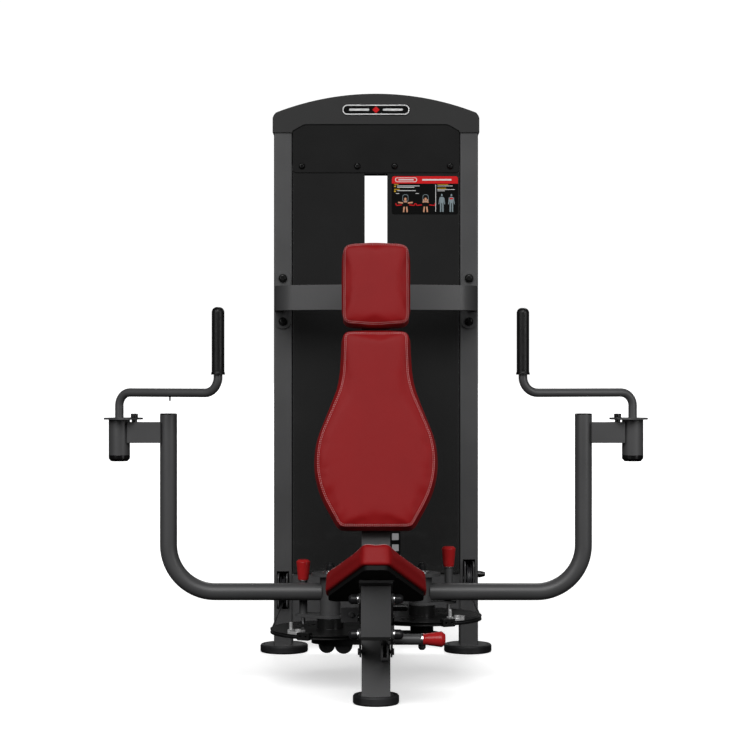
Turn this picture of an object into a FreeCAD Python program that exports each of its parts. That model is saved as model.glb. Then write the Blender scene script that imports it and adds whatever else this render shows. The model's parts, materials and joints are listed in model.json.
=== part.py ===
"""Pec deck machine with a weight-stack tower, two swinging arms, a lifting seat and padded back.

Millimetres, +Z up, the user faces -Y, origin on the floor at the middle of the machine's plan.
"""
import FreeCAD, Part
import math
import os

import Sketcher
from FreeCAD import Placement, Rotation, Vector

DIMENSIONS = {
    # overall stations
    "tower_front": 590,
    "hub_reach": 672,
    "hub_spread": 134,
    "foot_reach": 953,
    # tower
    "upright_spread": 305,
    "upright_width": 60,
    "upright_depth": 100,
    "upright_top": 1745,
    "tube_wall": 3,
    "foot_height": 25,
    "foot_radius": 78.5,
    "front_foot_radius": 64.5,
    "stack_line": 630,
    "panel_thickness": 5,
    "panel_bottom": 261,
    "panel_top": 1730,
    "slot_half": 37.5,
    "header_bottom": 1576,
    "header_half": 273,
    "crossbeam_height": 165,
    "crossbeam_depth": 60,
    "cover_half": 339,
    "cover_crown": 1834,
    "cover_arch": 906,
    "cover_wall": 4,
    "rod_spread": 99,
    "rod_top": 1578,
    "rod_radius": 12,
    "plate_width": 490,
    "plate_depth": 60,
    "plate_pitch": 36.2,
    "plate_gap": 0.4,
    "plate_count": 15,
    "selected_count": 4,
    "stack_bottom": 291,
    # cables and pulleys
    "cable_radius": 3,
    "groove_slack": 0.4,
    "low_pulley": 40,
    "top_pulley": 80,
    "top_pulley_level": 1690,
    "cam_rim": 171,
    "cam_radius": 175,
    "left_cam_height": 160,
    "right_cam_height": 199,
    "cam_thickness": 12,
    "pin_reach": 90,
    # pivots
    "beam_bottom": 130,
    "beam_top": 158,
    "beam_half": 55,
    "shaft_radius": 15,
    "pivot_plate_bottom": 325,
    "pivot_plate_top": 333,
    # arms
    "arm_height": 278,
    "arm_reach": 473,
    "arm_top": 796,
    "arm_tube_radius": 25,
    "arm_bend": 137,
    "sleeve_radius": 30,
    "socket_reach": 617,
    "socket_radius": 31,
    "handle_reach": 345,
    "handle_height": 861,
    "handle_tube_radius": 12.5,
    "grip_radius": 18,
    "grip_bottom": 913,
    "grip_top": 1105,
    # column, band and pads
    "column_size": 80,
    "column_lean": 11,
    "column_top": 1230,
    "band_height": 80,
    "band_level": 1160,
    "band_bulge": 168,
    "pad_thickness": 60,
    # seat
    "seat_tilt": 22,
    "seat_nose": 1300,
    "seat_nose_level": 419.5,
    "seat_length": 325,
    "link_run": 220,
    "link_rise": 78,
    "link_spread": 94.5,
    "seat_pivot_reach": 1150,
    "seat_pivot_level": 218,
}

HANDLE_SWIVEL = {"left": 28.7, "right": 17.5}
PIN_ANGLE = 27
SIDES = {"left": -1, "right": 1}
RUNNING = 0.08

doc = FreeCAD.newDocument("PecDeck")
sheet = doc.addObject("Spreadsheet::Sheet", "Dims")
for row, (alias, number) in enumerate(DIMENSIONS.items(), start=1):
    sheet.set(f"A{row}", alias)
    sheet.set(f"B{row}", str(number))
    sheet.setAlias(f"B{row}", alias)
doc.recompute()

nodes = {}


class Size:
    """A length that carries its number and the spreadsheet expression it comes from."""

    def __init__(self, number, text):
        self.number = float(number)
        self.text = text

    def __float__(self):
        return self.number

    def __add__(self, other):
        other = size(other)
        return Size(self.number + other.number, f"({self.text} + {other.text})")

    def __sub__(self, other):
        other = size(other)
        return Size(self.number - other.number, f"({self.text} - {other.text})")

    def __mul__(self, other):
        other = size(other)
        return Size(self.number * other.number, f"({self.text} * {other.text})")

    def __truediv__(self, other):
        other = size(other)
        return Size(self.number / other.number, f"({self.text} / {other.text})")

    def __neg__(self):
        return Size(-self.number, f"(0 - {self.text})")

    def __radd__(self, other):
        return size(other) + self

    def __rsub__(self, other):
        return size(other) - self

    def __rmul__(self, other):
        return size(other) * self


def size(value):
    if isinstance(value, Size):
        return value
    return Size(value, repr(round(float(value), 6)))


class Sheet:
    """Reads a driving dimension by its alias."""

    def __getattr__(self, alias):
        return Size(sheet.get(alias), f"Dims.{alias}")


dim = Sheet()


def bind(thing, prop, value):
    value = size(value)
    thing.setExpression(prop, value.text)


# ---------------------------------------------------------------- sketches and features


def new_body(label):
    body = doc.addObject("PartDesign::Body", label)
    body.Label = label
    return body


def new_sketch(body, plane, lift=0):
    """A sketch on one of the body's own origin planes, lifted along the plane's normal."""
    sketch = body.newObject("Sketcher::SketchObject", f"{body.Name}_sketch")
    support = [f for f in body.Origin.OriginFeatures if f.Role == plane][0]
    sketch.AttachmentSupport = [(support, "")]
    sketch.MapMode = "FlatFace"
    bind(sketch, "AttachmentOffset.Base.z", lift)
    return sketch


def dimension(sketch, kind, where, value):
    index = sketch.addConstraint(Sketcher.Constraint(kind, *where, float(value)))
    sketch.setExpression(f"Constraints[{index}]", size(value).text)


def pin_point(sketch, geometry, position, x, y):
    dimension(sketch, "DistanceX", (-1, 1, geometry, position), x)
    dimension(sketch, "DistanceY", (-1, 1, geometry, position), y)


def turn_at(before, here, after, radius):
    """Tangent points and arc of a corner rounded to the radius; the arc runs anticlockwise."""
    here = Vector(*here, 0)
    inward = (Vector(*before, 0) - here).normalize()
    onward = (Vector(*after, 0) - here).normalize()
    half = inward.getAngle(onward) / 2
    reach = radius / math.tan(half)
    start = here + inward * reach
    end = here + onward * reach
    centre = here + (inward + onward).normalize() * (radius / math.sin(half))
    middle = centre + (here - centre).normalize() * radius
    if (onward.cross(inward)).z > 0:
        return start, end, Part.Arc(start, middle, end)
    return start, end, Part.Arc(end, middle, start)


def draw(sketch, corners, closed=True):
    """Straight sides between corners (x, y) or (x, y, radius of the rounding)."""
    count = len(corners)
    spots = [(float(c[0]), float(c[1])) for c in corners]
    starts, ends, arcs = [], [], []
    for i, corner in enumerate(corners):
        rounded = len(corner) == 3 and (closed or 0 < i < count - 1)
        if rounded:
            start, end, arc = turn_at(spots[i - 1], spots[i], spots[(i + 1) % count],
                                      float(corner[2]))
        else:
            start = end = Vector(*spots[i], 0)
            arc = None
        starts.append(start)
        ends.append(end)
        arcs.append(arc)
    sides = count if closed else count - 1
    lines = [
        sketch.addGeometry(Part.LineSegment(ends[i], starts[(i + 1) % count]), False)
        for i in range(sides)
    ]
    for i, corner in enumerate(corners):
        before = lines[i - 1] if closed or i > 0 else None
        after = lines[i] if i < sides else None
        if arcs[i] is not None:
            join_rounded(sketch, corner, arcs[i], before, after, starts[i])
        elif before is not None and after is not None:
            sketch.addConstraint(Sketcher.Constraint("Coincident", before, 2, after, 1))
            pin_point(sketch, after, 1, corner[0], corner[1])
        elif after is not None:
            pin_point(sketch, after, 1, corner[0], corner[1])
        else:
            pin_point(sketch, before, 2, corner[0], corner[1])


def join_rounded(sketch, corner, arc, before, after, start):
    """A rounded corner: arc tangent to both sides, and the sharp corner kept as a point."""
    curve = sketch.addGeometry(arc, False)
    first = sketch.Geometry[curve].StartPoint.distanceToPoint(start) < 1e-4
    near, far = (1, 2) if first else (2, 1)
    point = sketch.addGeometry(Part.Point(Vector(float(corner[0]), float(corner[1]), 0)), True)
    sketch.addConstraint(Sketcher.Constraint("Tangent", before, 2, curve, near))
    sketch.addConstraint(Sketcher.Constraint("Tangent", curve, far, after, 1))
    sketch.addConstraint(Sketcher.Constraint("PointOnObject", point, 1, before))
    sketch.addConstraint(Sketcher.Constraint("PointOnObject", point, 1, after))
    pin_point(sketch, point, 1, corner[0], corner[1])
    dimension(sketch, "Radius", (curve,), corner[2])


def ring(sketch, x, y, radius):
    circle = sketch.addGeometry(
        Part.Circle(Vector(float(x), float(y), 0), Vector(0, 0, 1), float(radius)), False
    )
    pin_point(sketch, circle, 3, x, y)
    dimension(sketch, "Radius", (circle,), radius)


def rectangle(sketch, x_low, y_low, x_high, y_high, radius=None):
    tail = () if radius is None else (radius,)
    draw(sketch, [(x_low, y_low) + tail, (x_high, y_low) + tail,
                  (x_high, y_high) + tail, (x_low, y_high) + tail])


def pad(body, sketch, length, symmetric=False, reverse=False):
    feature = body.newObject("PartDesign::Pad", f"{body.Name}_pad")
    feature.Profile = sketch
    feature.SideType = "Symmetric" if symmetric else "One side"
    feature.Reversed = reverse
    bind(feature, "Length", length)
    sketch.Visibility = False
    return feature


def pocket(body, sketch, length, symmetric=False, reverse=False):
    """A cut that must take material away, whichever way its sketch faces."""
    doc.recompute()
    volume = body.Shape.Volume
    feature = body.newObject("PartDesign::Pocket", f"{body.Name}_pocket")
    feature.Profile = sketch
    feature.SideType = "Symmetric" if symmetric else "One side"
    feature.Reversed = reverse
    bind(feature, "Length", length)
    doc.recompute()
    if not body.Shape.Volume < volume - 1:
        raise RuntimeError(f"{body.Label}: the pocket cuts nothing")
    return feature


def revolve(body, sketch):
    feature = body.newObject("PartDesign::Revolution", f"{body.Name}_turn")
    feature.Profile = sketch
    feature.ReferenceAxis = (sketch, ["V_Axis"])
    feature.Angle = 360
    return feature


def place(thing, x=0, y=0, z=0, axis=(0, 0, 1), angle=0):
    """Sets the placement and binds its position to the sheet."""
    thing.Placement = Placement(Vector(float(x), float(y), float(z)),
                                Rotation(Vector(*axis), angle))
    bind(thing, "Placement.Base.x", x)
    bind(thing, "Placement.Base.y", y)
    bind(thing, "Placement.Base.z", z)
    return thing


def node(thing):
    nodes[thing.Label] = thing
    return thing


def group(label, members):
    """Several separate solids in one sub-part."""
    compound = doc.addObject("Part::Compound", label)
    compound.Label = label
    compound.Links = members
    return node(compound)


def joined(label, members):
    """Pieces welded into one solid."""
    fusion = doc.addObject("Part::MultiFuse", label)
    fusion.Label = label
    fusion.Shapes = members
    fusion.Refine = False
    return node(fusion)


def turned(label, outline):
    """A round piece about its own Z axis from a half outline of (radius, height)."""
    body = new_body(label)
    sketch = new_sketch(body, "XZ_Plane")
    draw(sketch, outline)
    revolve(body, sketch)
    return body


def disc(label, radius, height, bore=None):
    body = new_body(label)
    sketch = new_sketch(body, "XY_Plane")
    ring(sketch, 0, 0, radius)
    if bore is not None:
        ring(sketch, 0, 0, bore)
    pad(body, sketch, height)
    return body


def box_tube(label, width, depth, length, wall):
    """A rectangular tube standing along its own Z axis."""
    body = new_body(label)
    sketch = new_sketch(body, "XY_Plane")
    rectangle(sketch, -width / 2, -depth / 2, width / 2, depth / 2, 6)
    rectangle(sketch, -width / 2 + wall, -depth / 2 + wall, width / 2 - wall, depth / 2 - wall)
    pad(body, sketch, length)
    return body


def slab(label, corners, thickness, plane="XY_Plane", holes=(), symmetric=False):
    """A flat plate of any outline with round holes (x, y, radius)."""
    body = new_body(label)
    sketch = new_sketch(body, plane)
    draw(sketch, corners)
    for x, y, radius in holes:
        ring(sketch, x, y, radius)
    pad(body, sketch, thickness, symmetric=symmetric)
    return body


def swept(label, corners, radius, wall=None, plane="XZ_Plane"):
    """A round bar or tube along a plane path; the path starts along its own vertical."""
    body = new_body(label)
    spine = new_sketch(body, plane)
    draw(spine, corners, closed=False)
    profile = new_sketch(body, "XY_Plane", corners[0][1])
    ring(profile, corners[0][0], 0, radius)
    if wall is not None:
        ring(profile, corners[0][0], 0, radius - wall)
    pipe = body.newObject("PartDesign::AdditivePipe", f"{label}_pipe")
    pipe.Profile = profile
    pipe.Spine = spine
    return body


# ---------------------------------------------------------------- tower


def station(reach):
    """Y of a place that lies the given distance in front of the tower."""
    return dim.tower_front - reach


hub_line = station(dim.hub_reach)
foot_line = station(dim.foot_reach)
rear_foot_line = dim.tower_front + 42
tower_back = dim.tower_front + dim.upright_depth
tower_middle = dim.tower_front + dim.upright_depth / 2
low_pulley_line = dim.stack_line - dim.low_pulley
inner_half = dim.upright_spread - dim.upright_width / 2
cable_drop = dim.upright_spread - dim.top_pulley * 2


def cam_height(side):
    return dim.left_cam_height if side == "left" else dim.right_cam_height


def cable_height(side):
    return cam_height(side) + dim.cam_thickness / 2


def make_uprights():
    for side, sign in SIDES.items():
        body = box_tube(f"upright_tube_{side}", dim.upright_width, dim.upright_depth,
                        dim.upright_top - dim.foot_height, dim.tube_wall)
        doc.recompute()
        centre = cable_height(side) + dim.low_pulley - dim.foot_height
        front = new_sketch(body, "XZ_Plane", dim.upright_depth / 2 + 1)
        rectangle(front, -20, centre - 62, 20, centre + 62)
        pocket(body, front, dim.tube_wall + 2)
        top = new_sketch(body, "YZ_Plane", -sign * (dim.upright_width / 2 + 1))
        middle = dim.stack_line - tower_middle
        full = dim.upright_top - dim.foot_height
        rectangle(top, middle - 16, full - 165, middle + 16, full + 1)
        pocket(body, top, dim.tube_wall + 2, reverse=sign > 0)
        place(body, sign * dim.upright_spread, tower_middle, dim.foot_height)
        flange = foot_flange(f"flange_{side}", sign * (dim.upright_spread - 2), rear_foot_line,
                             dim.foot_radius)
        joined(f"upright_{side}", [body, flange])


def foot_flange(label, x, y, radius):
    """Thin round plate welded under a tube, let into the rubber foot."""
    return place(disc(label, radius - 15, 3), x, y, dim.foot_height - 3)


def make_crossbeams():
    length = inner_half * 2
    for label, low, high in (("bottom_crossbeam", dim.panel_bottom - dim.crossbeam_height,
                              dim.panel_bottom),
                             ("top_crossbeam", dim.rod_top, dim.rod_top + 24)):
        body = box_tube(label, dim.crossbeam_depth, high - low, length, dim.tube_wall)
        if label == "top_crossbeam":
            doc.recompute()
            passage = new_sketch(body, "XZ_Plane")
            for sign in SIDES.values():
                ring(passage, 0, inner_half + sign * cable_drop, 8)
            pocket(body, passage, 40, symmetric=True)
        node(place(body, -inner_half, dim.stack_line, (low + high) / 2, (1, 1, 1), 120))


def make_cover():
    wall = dim.cover_wall
    depth = dim.upright_depth + 10
    body = new_body("top_cover")
    shell = new_sketch(body, "XZ_Plane")
    draw_arch(shell, dim.cover_half, dim.cover_crown, dim.cover_arch, 1707)
    pad(body, shell, depth)
    hollow = new_sketch(body, "XZ_Plane", wall)
    draw_arch(hollow, dim.cover_half - wall, dim.cover_crown - wall, dim.cover_arch - wall, 1700)
    pocket(body, hollow, depth - wall * 2, reverse=True)
    window = new_sketch(body, "XZ_Plane", -1)
    draw(window, [(-274, 1700), (274, 1700), (274, 1712, 6), (236, 1734, 40), (-236, 1734, 40),
                  (-274, 1712, 6)])
    pocket(body, window, depth + 2, reverse=True)
    place(body, 0, tower_back + 5, 0)
    node(body)


def draw_arch(sketch, half, crown, arch, low):
    """An arched top over two upright sides, as straight sides and two arcs."""
    half_number, crown_number, arch_number = float(half), float(crown), float(arch)
    centre = Vector(0, crown_number - arch_number, 0)
    corner = 26
    spring = half_number - 12

    def top(x):
        return centre.y + math.sqrt(arch_number ** 2 - x ** 2)

    shoulder = Vector(spring, top(spring), 0)
    side = Vector(half_number, top(half_number) - corner * 0.55, 0)
    bow = Part.Arc(Vector(-spring, shoulder.y, 0), Vector(0, crown_number, 0), shoulder)
    right = Part.Arc(shoulder, Vector(half_number - 3.2, side.y + 8.5, 0), side)
    left = Part.Arc(Vector(-side.x, side.y, 0), Vector(-half_number + 3.2, side.y + 8.5, 0),
                    Vector(-spring, shoulder.y, 0))
    pieces = [
        bow,
        right,
        Part.LineSegment(side, Vector(half_number, low, 0)),
        Part.LineSegment(Vector(half_number, low, 0), Vector(-half_number, low, 0)),
        Part.LineSegment(Vector(-half_number, low, 0), Vector(-half_number, side.y, 0)),
        left,
    ]
    for piece in pieces:
        sketch.addGeometry(piece, False)


def make_header():
    """Dark plates behind the cover that carry the button screws, front and back."""
    members = []
    for label, y in (("header_front", dim.tower_front + 2), ("header_back", tower_back + 1)):
        body = slab(label, [(-dim.header_half, dim.header_bottom, 13),
                            (dim.header_half, dim.header_bottom, 13),
                            (dim.header_half, 1740), (-dim.header_half, 1740)],
                    3, "XZ_Plane")
        members.append(place(body, 0, y, 0))
    group("header_plates", members)


def button(label, radius, height):
    """A domed screw head whose flat side is at its own origin."""
    return turned(label, [(0, 0), (radius, 0), (radius, height * 0.35), (radius * 0.62, height, 2),
                          (0, height)])


def make_button_bolts():
    members = []
    for x in (-243, -61, 61, 243):
        head = button(f"header_bolt_{len(members)}", 10.5, 7)
        members.append(place(head, x, dim.tower_front - 1, 1597, (1, 0, 0), 90))
        head = button(f"header_bolt_{len(members)}", 10.5, 7)
        members.append(place(head, x, tower_back + 1, 1597, (1, 0, 0), -90))
    peg = button("storage_peg", 11, 24)
    members.append(place(peg, dim.upright_spread + dim.upright_width / 2,
                         dim.tower_front + 20, 257, (0, 1, 0), 90))
    for sign in SIDES.values():
        for level in (dim.band_level - 73, dim.band_level + 69):
            head = button(f"band_bolt_{len(members)}", 14, 16)
            members.append(place(head, sign * dim.upright_spread, dim.tower_front - 8, level,
                                 (1, 0, 0), 90))
    group("button_bolts", members)


def panel(label, low, high, y):
    body = slab(label, [(low, dim.panel_bottom), (high, dim.panel_bottom),
                        (high, dim.panel_top), (low, dim.panel_top)],
                dim.panel_thickness, "XZ_Plane")
    return place(body, 0, y + dim.panel_thickness, 0)


def make_panels():
    outer = inner_half - 2
    front = dim.tower_front + 2
    back = tower_back - 2 - dim.panel_thickness
    node(panel("front_panel_left", -outer, -dim.slot_half, front))
    node(panel("front_panel_right", dim.slot_half, outer, front))
    group("rear_panels", [panel("rear_panel_left", -outer, -dim.slot_half, back),
                          panel("rear_panel_right", dim.slot_half, outer, back)])


def make_placard():
    body = slab("placard", [(52, 1440, 8), (269, 1440, 8), (269, 1564, 8), (52, 1564, 8)],
                2, "XZ_Plane")
    node(place(body, 0, dim.tower_front + 2, 0))


def make_badge():
    body = slab("cover_badge", [(-111, 1763, 17), (111, 1763, 17), (111, 1799, 17),
                                (-111, 1799, 17)], 2, "XZ_Plane")
    node(place(body, 0, dim.tower_front - 5, 0))


def make_stack():
    rods = []
    for sign in SIDES.values():
        rod = disc(f"guide_rod_{sign + 1}", dim.rod_radius, dim.rod_top - dim.panel_bottom)
        rods.append(place(rod, sign * dim.rod_spread, dim.stack_line, dim.panel_bottom))
    group("guide_rods", rods)
    bumpers = []
    for sign in SIDES.values():
        bumper = disc(f"bumper_{sign + 1}", 28, dim.stack_bottom - dim.panel_bottom,
                      dim.rod_radius)
        bumpers.append(place(bumper, sign * dim.rod_spread, dim.stack_line, dim.panel_bottom))
    group("stack_bumpers", bumpers)
    resting = dim.plate_count - dim.selected_count
    plates("weight_plates_resting", resting, dim.stack_bottom)
    plates("weight_plates_selected", dim.selected_count,
           dim.stack_bottom + resting * dim.plate_pitch)


def plates(label, count, low):
    """Equal plates piled at one pitch, each bored for the rods and the selector."""
    width, depth = dim.plate_width / 2, dim.plate_depth / 2
    body = new_body(label)
    sketch = new_sketch(body, "XY_Plane")
    rectangle(sketch, -width, -depth, width, depth, 8)
    for x in (-dim.rod_spread, dim.rod_spread):
        ring(sketch, x, 0, dim.rod_radius + 1.5)
    ring(sketch, 0, 0, 14)
    plate = pad(body, sketch, dim.plate_pitch - dim.plate_gap)
    doc.recompute()
    bore = new_sketch(body, "XZ_Plane")
    ring(bore, 0, (dim.plate_pitch - dim.plate_gap) / 2, 6)
    hole = pocket(body, bore, dim.plate_depth + 2, symmetric=True)
    pattern = body.newObject("PartDesign::LinearPattern", f"{label}_pile")
    pattern.Originals = [plate, hole]
    vertical = [f for f in body.Origin.OriginFeatures if f.Role == "Z_Axis"][0]
    pattern.Direction = (vertical, [""])
    pattern.Mode = "Spacing"
    bind(pattern, "Offset", dim.plate_pitch)
    bind(pattern, "Occurrences", count)
    body.Tip = pattern
    node(place(body, 0, dim.stack_line, low))


def make_head_plate():
    """Top plate of the stack with its selector stem and the two cable studs."""
    width, depth = dim.plate_width / 2, dim.plate_depth / 2
    low = dim.stack_bottom + dim.plate_count * dim.plate_pitch
    plate = slab("head_block", [(-width, -depth, 8), (width, -depth, 8), (width, depth, 8),
                                (-width, depth, 8)], 31,
                 holes=[(-dim.rod_spread, 0, dim.rod_radius + 1), (dim.rod_spread, 0,
                                                                   dim.rod_radius + 1)])
    place(plate, 0, dim.stack_line, low)
    stem = disc("selector_stem", 12, dim.plate_count * dim.plate_pitch - 20 + 40)
    doc.recompute()
    cut = new_sketch(stem, "XZ_Plane")
    for step in range(int(float(dim.plate_count))):
        ring(cut, 0, (step + 0.5) * dim.plate_pitch - 20 - dim.plate_gap / 2, 6)
    pocket(stem, cut, 40, symmetric=True)
    place(stem, 0, dim.stack_line, dim.stack_bottom + 20)
    studs = []
    for sign in SIDES.values():
        stud = disc(f"cable_stud_{sign + 1}", 9, 60)
        x = sign * cable_drop
        studs.append(place(stud, x, dim.stack_line, low + 20))
    joined("head_plate", [plate, stem] + studs)


def make_selector_pin():
    level = (dim.stack_bottom + (dim.plate_count - dim.selected_count + 0.5) * dim.plate_pitch
             - dim.plate_gap / 2)
    pin = turned("selector_pin", [(0, 0), (5, 0), (5, 92), (13, 92), (16, 100), (16, 112, 3),
                                  (11, 122, 3), (0, 122)])
    node(place(pin, 0, dim.stack_line + 40, level, (1, 0, 0), 90))


# ---------------------------------------------------------------- feet, base, pivots


def make_feet():
    members = []
    spots = [(-dim.upright_spread + 2, rear_foot_line, dim.foot_radius),
             (dim.upright_spread - 2, rear_foot_line, dim.foot_radius),
             (size(0), foot_line, dim.front_foot_radius)]
    for x, y, radius in spots:
        foot = turned(f"foot_{len(members)}",
                      [(0, 0), (radius - 3, 0), (radius, 4), (radius, dim.foot_height - 4),
                       (radius - 3, dim.foot_height), (radius - 12, dim.foot_height),
                       (radius - 14, dim.foot_height - 3), (0, dim.foot_height - 3)])
        members.append(place(foot, x, y, 0))
    group("feet", members)


def column_face(level):
    """Y of the column's front face at a height."""
    lean = math.tan(math.radians(float(dim.column_lean)))
    return foot_line - dim.column_size / 2 + (level - dim.foot_height) * lean


def make_column():
    """Square tube leaning back from the front foot, open ends, seat bolts through it."""
    across = dim.column_size / math.cos(math.radians(float(dim.column_lean)))
    low, high = dim.foot_height, dim.column_top
    body = new_body("column_tube")
    profile = new_sketch(body, "YZ_Plane")
    draw(profile, [(column_face(low), low), (column_face(low) + across, low),
                   (column_face(high) + across, high), (column_face(high), high)])
    pad(body, profile, dim.column_size, symmetric=True)
    doc.recompute()
    hollow = new_sketch(body, "YZ_Plane")
    skin = 4 / math.cos(math.radians(float(dim.column_lean)))
    under, over = low - 5, high - 4
    draw(hollow, [(column_face(under) + skin, under), (column_face(under) + across - skin, under),
                  (column_face(over) + across - skin, over), (column_face(over) + skin, over)])
    pocket(body, hollow, dim.column_size - 8, symmetric=True)
    bolts = new_sketch(body, "YZ_Plane")
    for y, z in rear_pivots():
        ring(bolts, y, z, 6)
    pocket(body, bolts, dim.column_size + 2, symmetric=True)
    flange = foot_flange("column_flange", size(0), foot_line, dim.front_foot_radius)
    ear = slab("column_ear", [(-98, 219, 3), (-36, 219), (-36, 261), (-98, 261, 3)], 8,
               "XZ_Plane")
    place(ear, 0, foot_line + 50, 0)
    stud = button("ear_stud", 9, 6)
    place(stud, -68, foot_line + 42.5, 240, (1, 0, 0), 90)
    joined("back_column", [body, flange, seat_rack(), ear, stud])


def seat_rack():
    """Index plate on the column's front that the seat's locking pin engages."""
    y, z = pin_spot()
    rack = new_body("seat_rack")
    side = new_sketch(rack, "YZ_Plane")
    draw(side, [(column_face(120) + 2, 120), (column_face(188) + 2, 188), (y - 20, 188, 10),
                (y - 20, 138, 20)])
    pad(rack, side, 20, symmetric=True)
    doc.recompute()
    channel = new_sketch(rack, "YZ_Plane")
    draw(channel, [(y - 30, 148), (y + 40, 148), (y + 40, 195), (y - 30, 195)])
    pocket(rack, channel, 10, symmetric=True)
    return place(rack, 24, 0, 0)


def front_pivots():
    y = station(dim.seat_pivot_reach)
    return [(y, dim.seat_pivot_level), (y, dim.seat_pivot_level + dim.link_spread)]


def rear_pivots():
    return [(y + dim.link_run, z - dim.link_rise) for y, z in front_pivots()]


def make_base():
    """Low tube from the column back to the tower, with a bolted end plate."""
    low, high = 45, 125
    across = dim.column_size / math.cos(math.radians(float(dim.column_lean)))
    beam = new_body("base_tube")
    side = new_sketch(beam, "YZ_Plane")
    draw(side, [(column_face(low) + across, low), (dim.stack_line - 40, low),
                (dim.stack_line - 40, high), (column_face(high) + across, high)])
    pad(beam, side, 76, symmetric=True)
    doc.recompute()
    hollow = new_sketch(beam, "YZ_Plane")
    draw(hollow, [(column_face(low) + across + 8, low + 4), (dim.stack_line - 44, low + 4),
                  (dim.stack_line - 44, high - 4), (column_face(high) + across + 8, high - 4)])
    pocket(beam, hollow, 68, symmetric=True)
    flange = slab("base_flange", [(-60, low, 6), (60, low, 6), (60, 245, 6), (-60, 245, 6)],
                  10, "XZ_Plane")
    place(flange, 0, dim.stack_line - dim.crossbeam_depth / 2, 0)
    joined("base_beam", [beam, flange])


def make_pivot_beam():
    """Low beam across the machine, and on it the two fixed shafts with their cap nuts."""
    half = dim.hub_spread + dim.beam_half
    beam = slab("beam_bar", [(-half, -dim.beam_half, 54), (half, -dim.beam_half, 54),
                             (half, dim.beam_half, 54), (-half, dim.beam_half, 54)],
                dim.beam_top - dim.beam_bottom)
    place(beam, 0, hub_line, dim.beam_bottom)
    web = slab("beam_web", [(-38, -40), (38, -40), (38, 40), (-38, 40)], 6)
    place(web, 0, hub_line, dim.beam_bottom - 5)
    members = [beam, web]
    for x, radius in ((-143, 24), (-94, 26)):
        lug = disc(f"beam_lug_{radius}", radius, 14)
        members.append(place(lug, x, hub_line - 20, dim.beam_bottom - 3, (1, 0, 0), 90))
    cap = turned("beam_cap", [(0, 0), (6, 0, 3), (11, 6, 4), (11, 20), (0, 20)])
    members.append(place(cap, dim.hub_spread, hub_line - 30, dim.beam_bottom - 18))
    joined("lower_pivot_beam", members)
    shafts = []
    for side, sign in SIDES.items():
        foot = cam_height(side) - dim.beam_top - 1
        top = dim.pivot_plate_top - dim.beam_top
        shaft = turned(f"shaft_{side}",
                       [(0, 0), (34, 0), (34, foot), (dim.shaft_radius, foot),
                        (dim.shaft_radius, top), (22, top), (22, top + 5), (12, top + 6),
                        (12, top + 22, 4), (7, top + 30, 3), (0, top + 30)])
        shafts.append(place(shaft, sign * dim.hub_spread, hub_line, dim.beam_top))
    group("hub_shafts", shafts)


def make_top_pivot():
    """Round-ended plate over both hubs, held out from the column on a box arm."""
    half = dim.hub_spread + dim.beam_half
    plate = slab("pivot_plate", [(-half, -dim.beam_half, 54), (half, -dim.beam_half, 54),
                                 (half, dim.beam_half, 54), (-half, dim.beam_half, 54)],
                 dim.pivot_plate_top - dim.pivot_plate_bottom,
                 holes=[(-dim.hub_spread, 0, dim.shaft_radius),
                        (dim.hub_spread, 0, dim.shaft_radius)])
    place(plate, 0, hub_line, dim.pivot_plate_bottom)
    across = dim.column_size / math.cos(math.radians(float(dim.column_lean)))
    arm = new_body("pivot_arm")
    side = new_sketch(arm, "YZ_Plane")
    low, high = dim.pivot_plate_bottom - 55, dim.pivot_plate_bottom
    draw(side, [(column_face(low) + across, low), (hub_line + 40, low + 20),
                (hub_line + 40, high), (column_face(high) + across, high)])
    pad(arm, side, 60, symmetric=True)
    tongue = slab("pivot_tongue", [(-40, column_face(dim.pivot_plate_top) + across),
                                   (40, column_face(dim.pivot_plate_top) + across),
                                   (40, hub_line), (-40, hub_line)],
                  dim.pivot_plate_top - dim.pivot_plate_bottom)
    place(tongue, 0, 0, dim.pivot_plate_bottom)
    joined("top_pivot_plate", [plate, arm, tongue])


# ---------------------------------------------------------------- pulleys and cables


def pulley(label, line_radius, bore):
    """Grooved wheel about its own Z axis, centred on the groove."""
    rim, floor = line_radius + 6, line_radius - dim.cable_radius - dim.groove_slack
    return turned(label, [(bore, -10), (bore + 8, -10), (bore + 8, -7), (rim - 2, -8),
                          (rim, -6.5), (rim, -5), (floor, -3.4), (floor, 3.4), (rim, 5),
                          (rim, 6.5), (rim - 2, 8), (bore + 8, 7), (bore + 8, 10),
                          (bore, 10)])


def make_pulleys():
    for side, sign in SIDES.items():
        wheel = pulley(f"low_pulley_{side}", dim.low_pulley, 6 + RUNNING)
        level = cable_height(side) + dim.low_pulley
        node(place(wheel, sign * dim.upright_spread, low_pulley_line, level, (0, 1, 0), 90))
        wheel = pulley(f"top_pulley_{side}", dim.top_pulley, 6 + RUNNING)
        x = sign * (dim.upright_spread - dim.top_pulley)
        node(place(wheel, x, dim.stack_line, dim.top_pulley_level, (1, 0, 0), 90))


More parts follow.
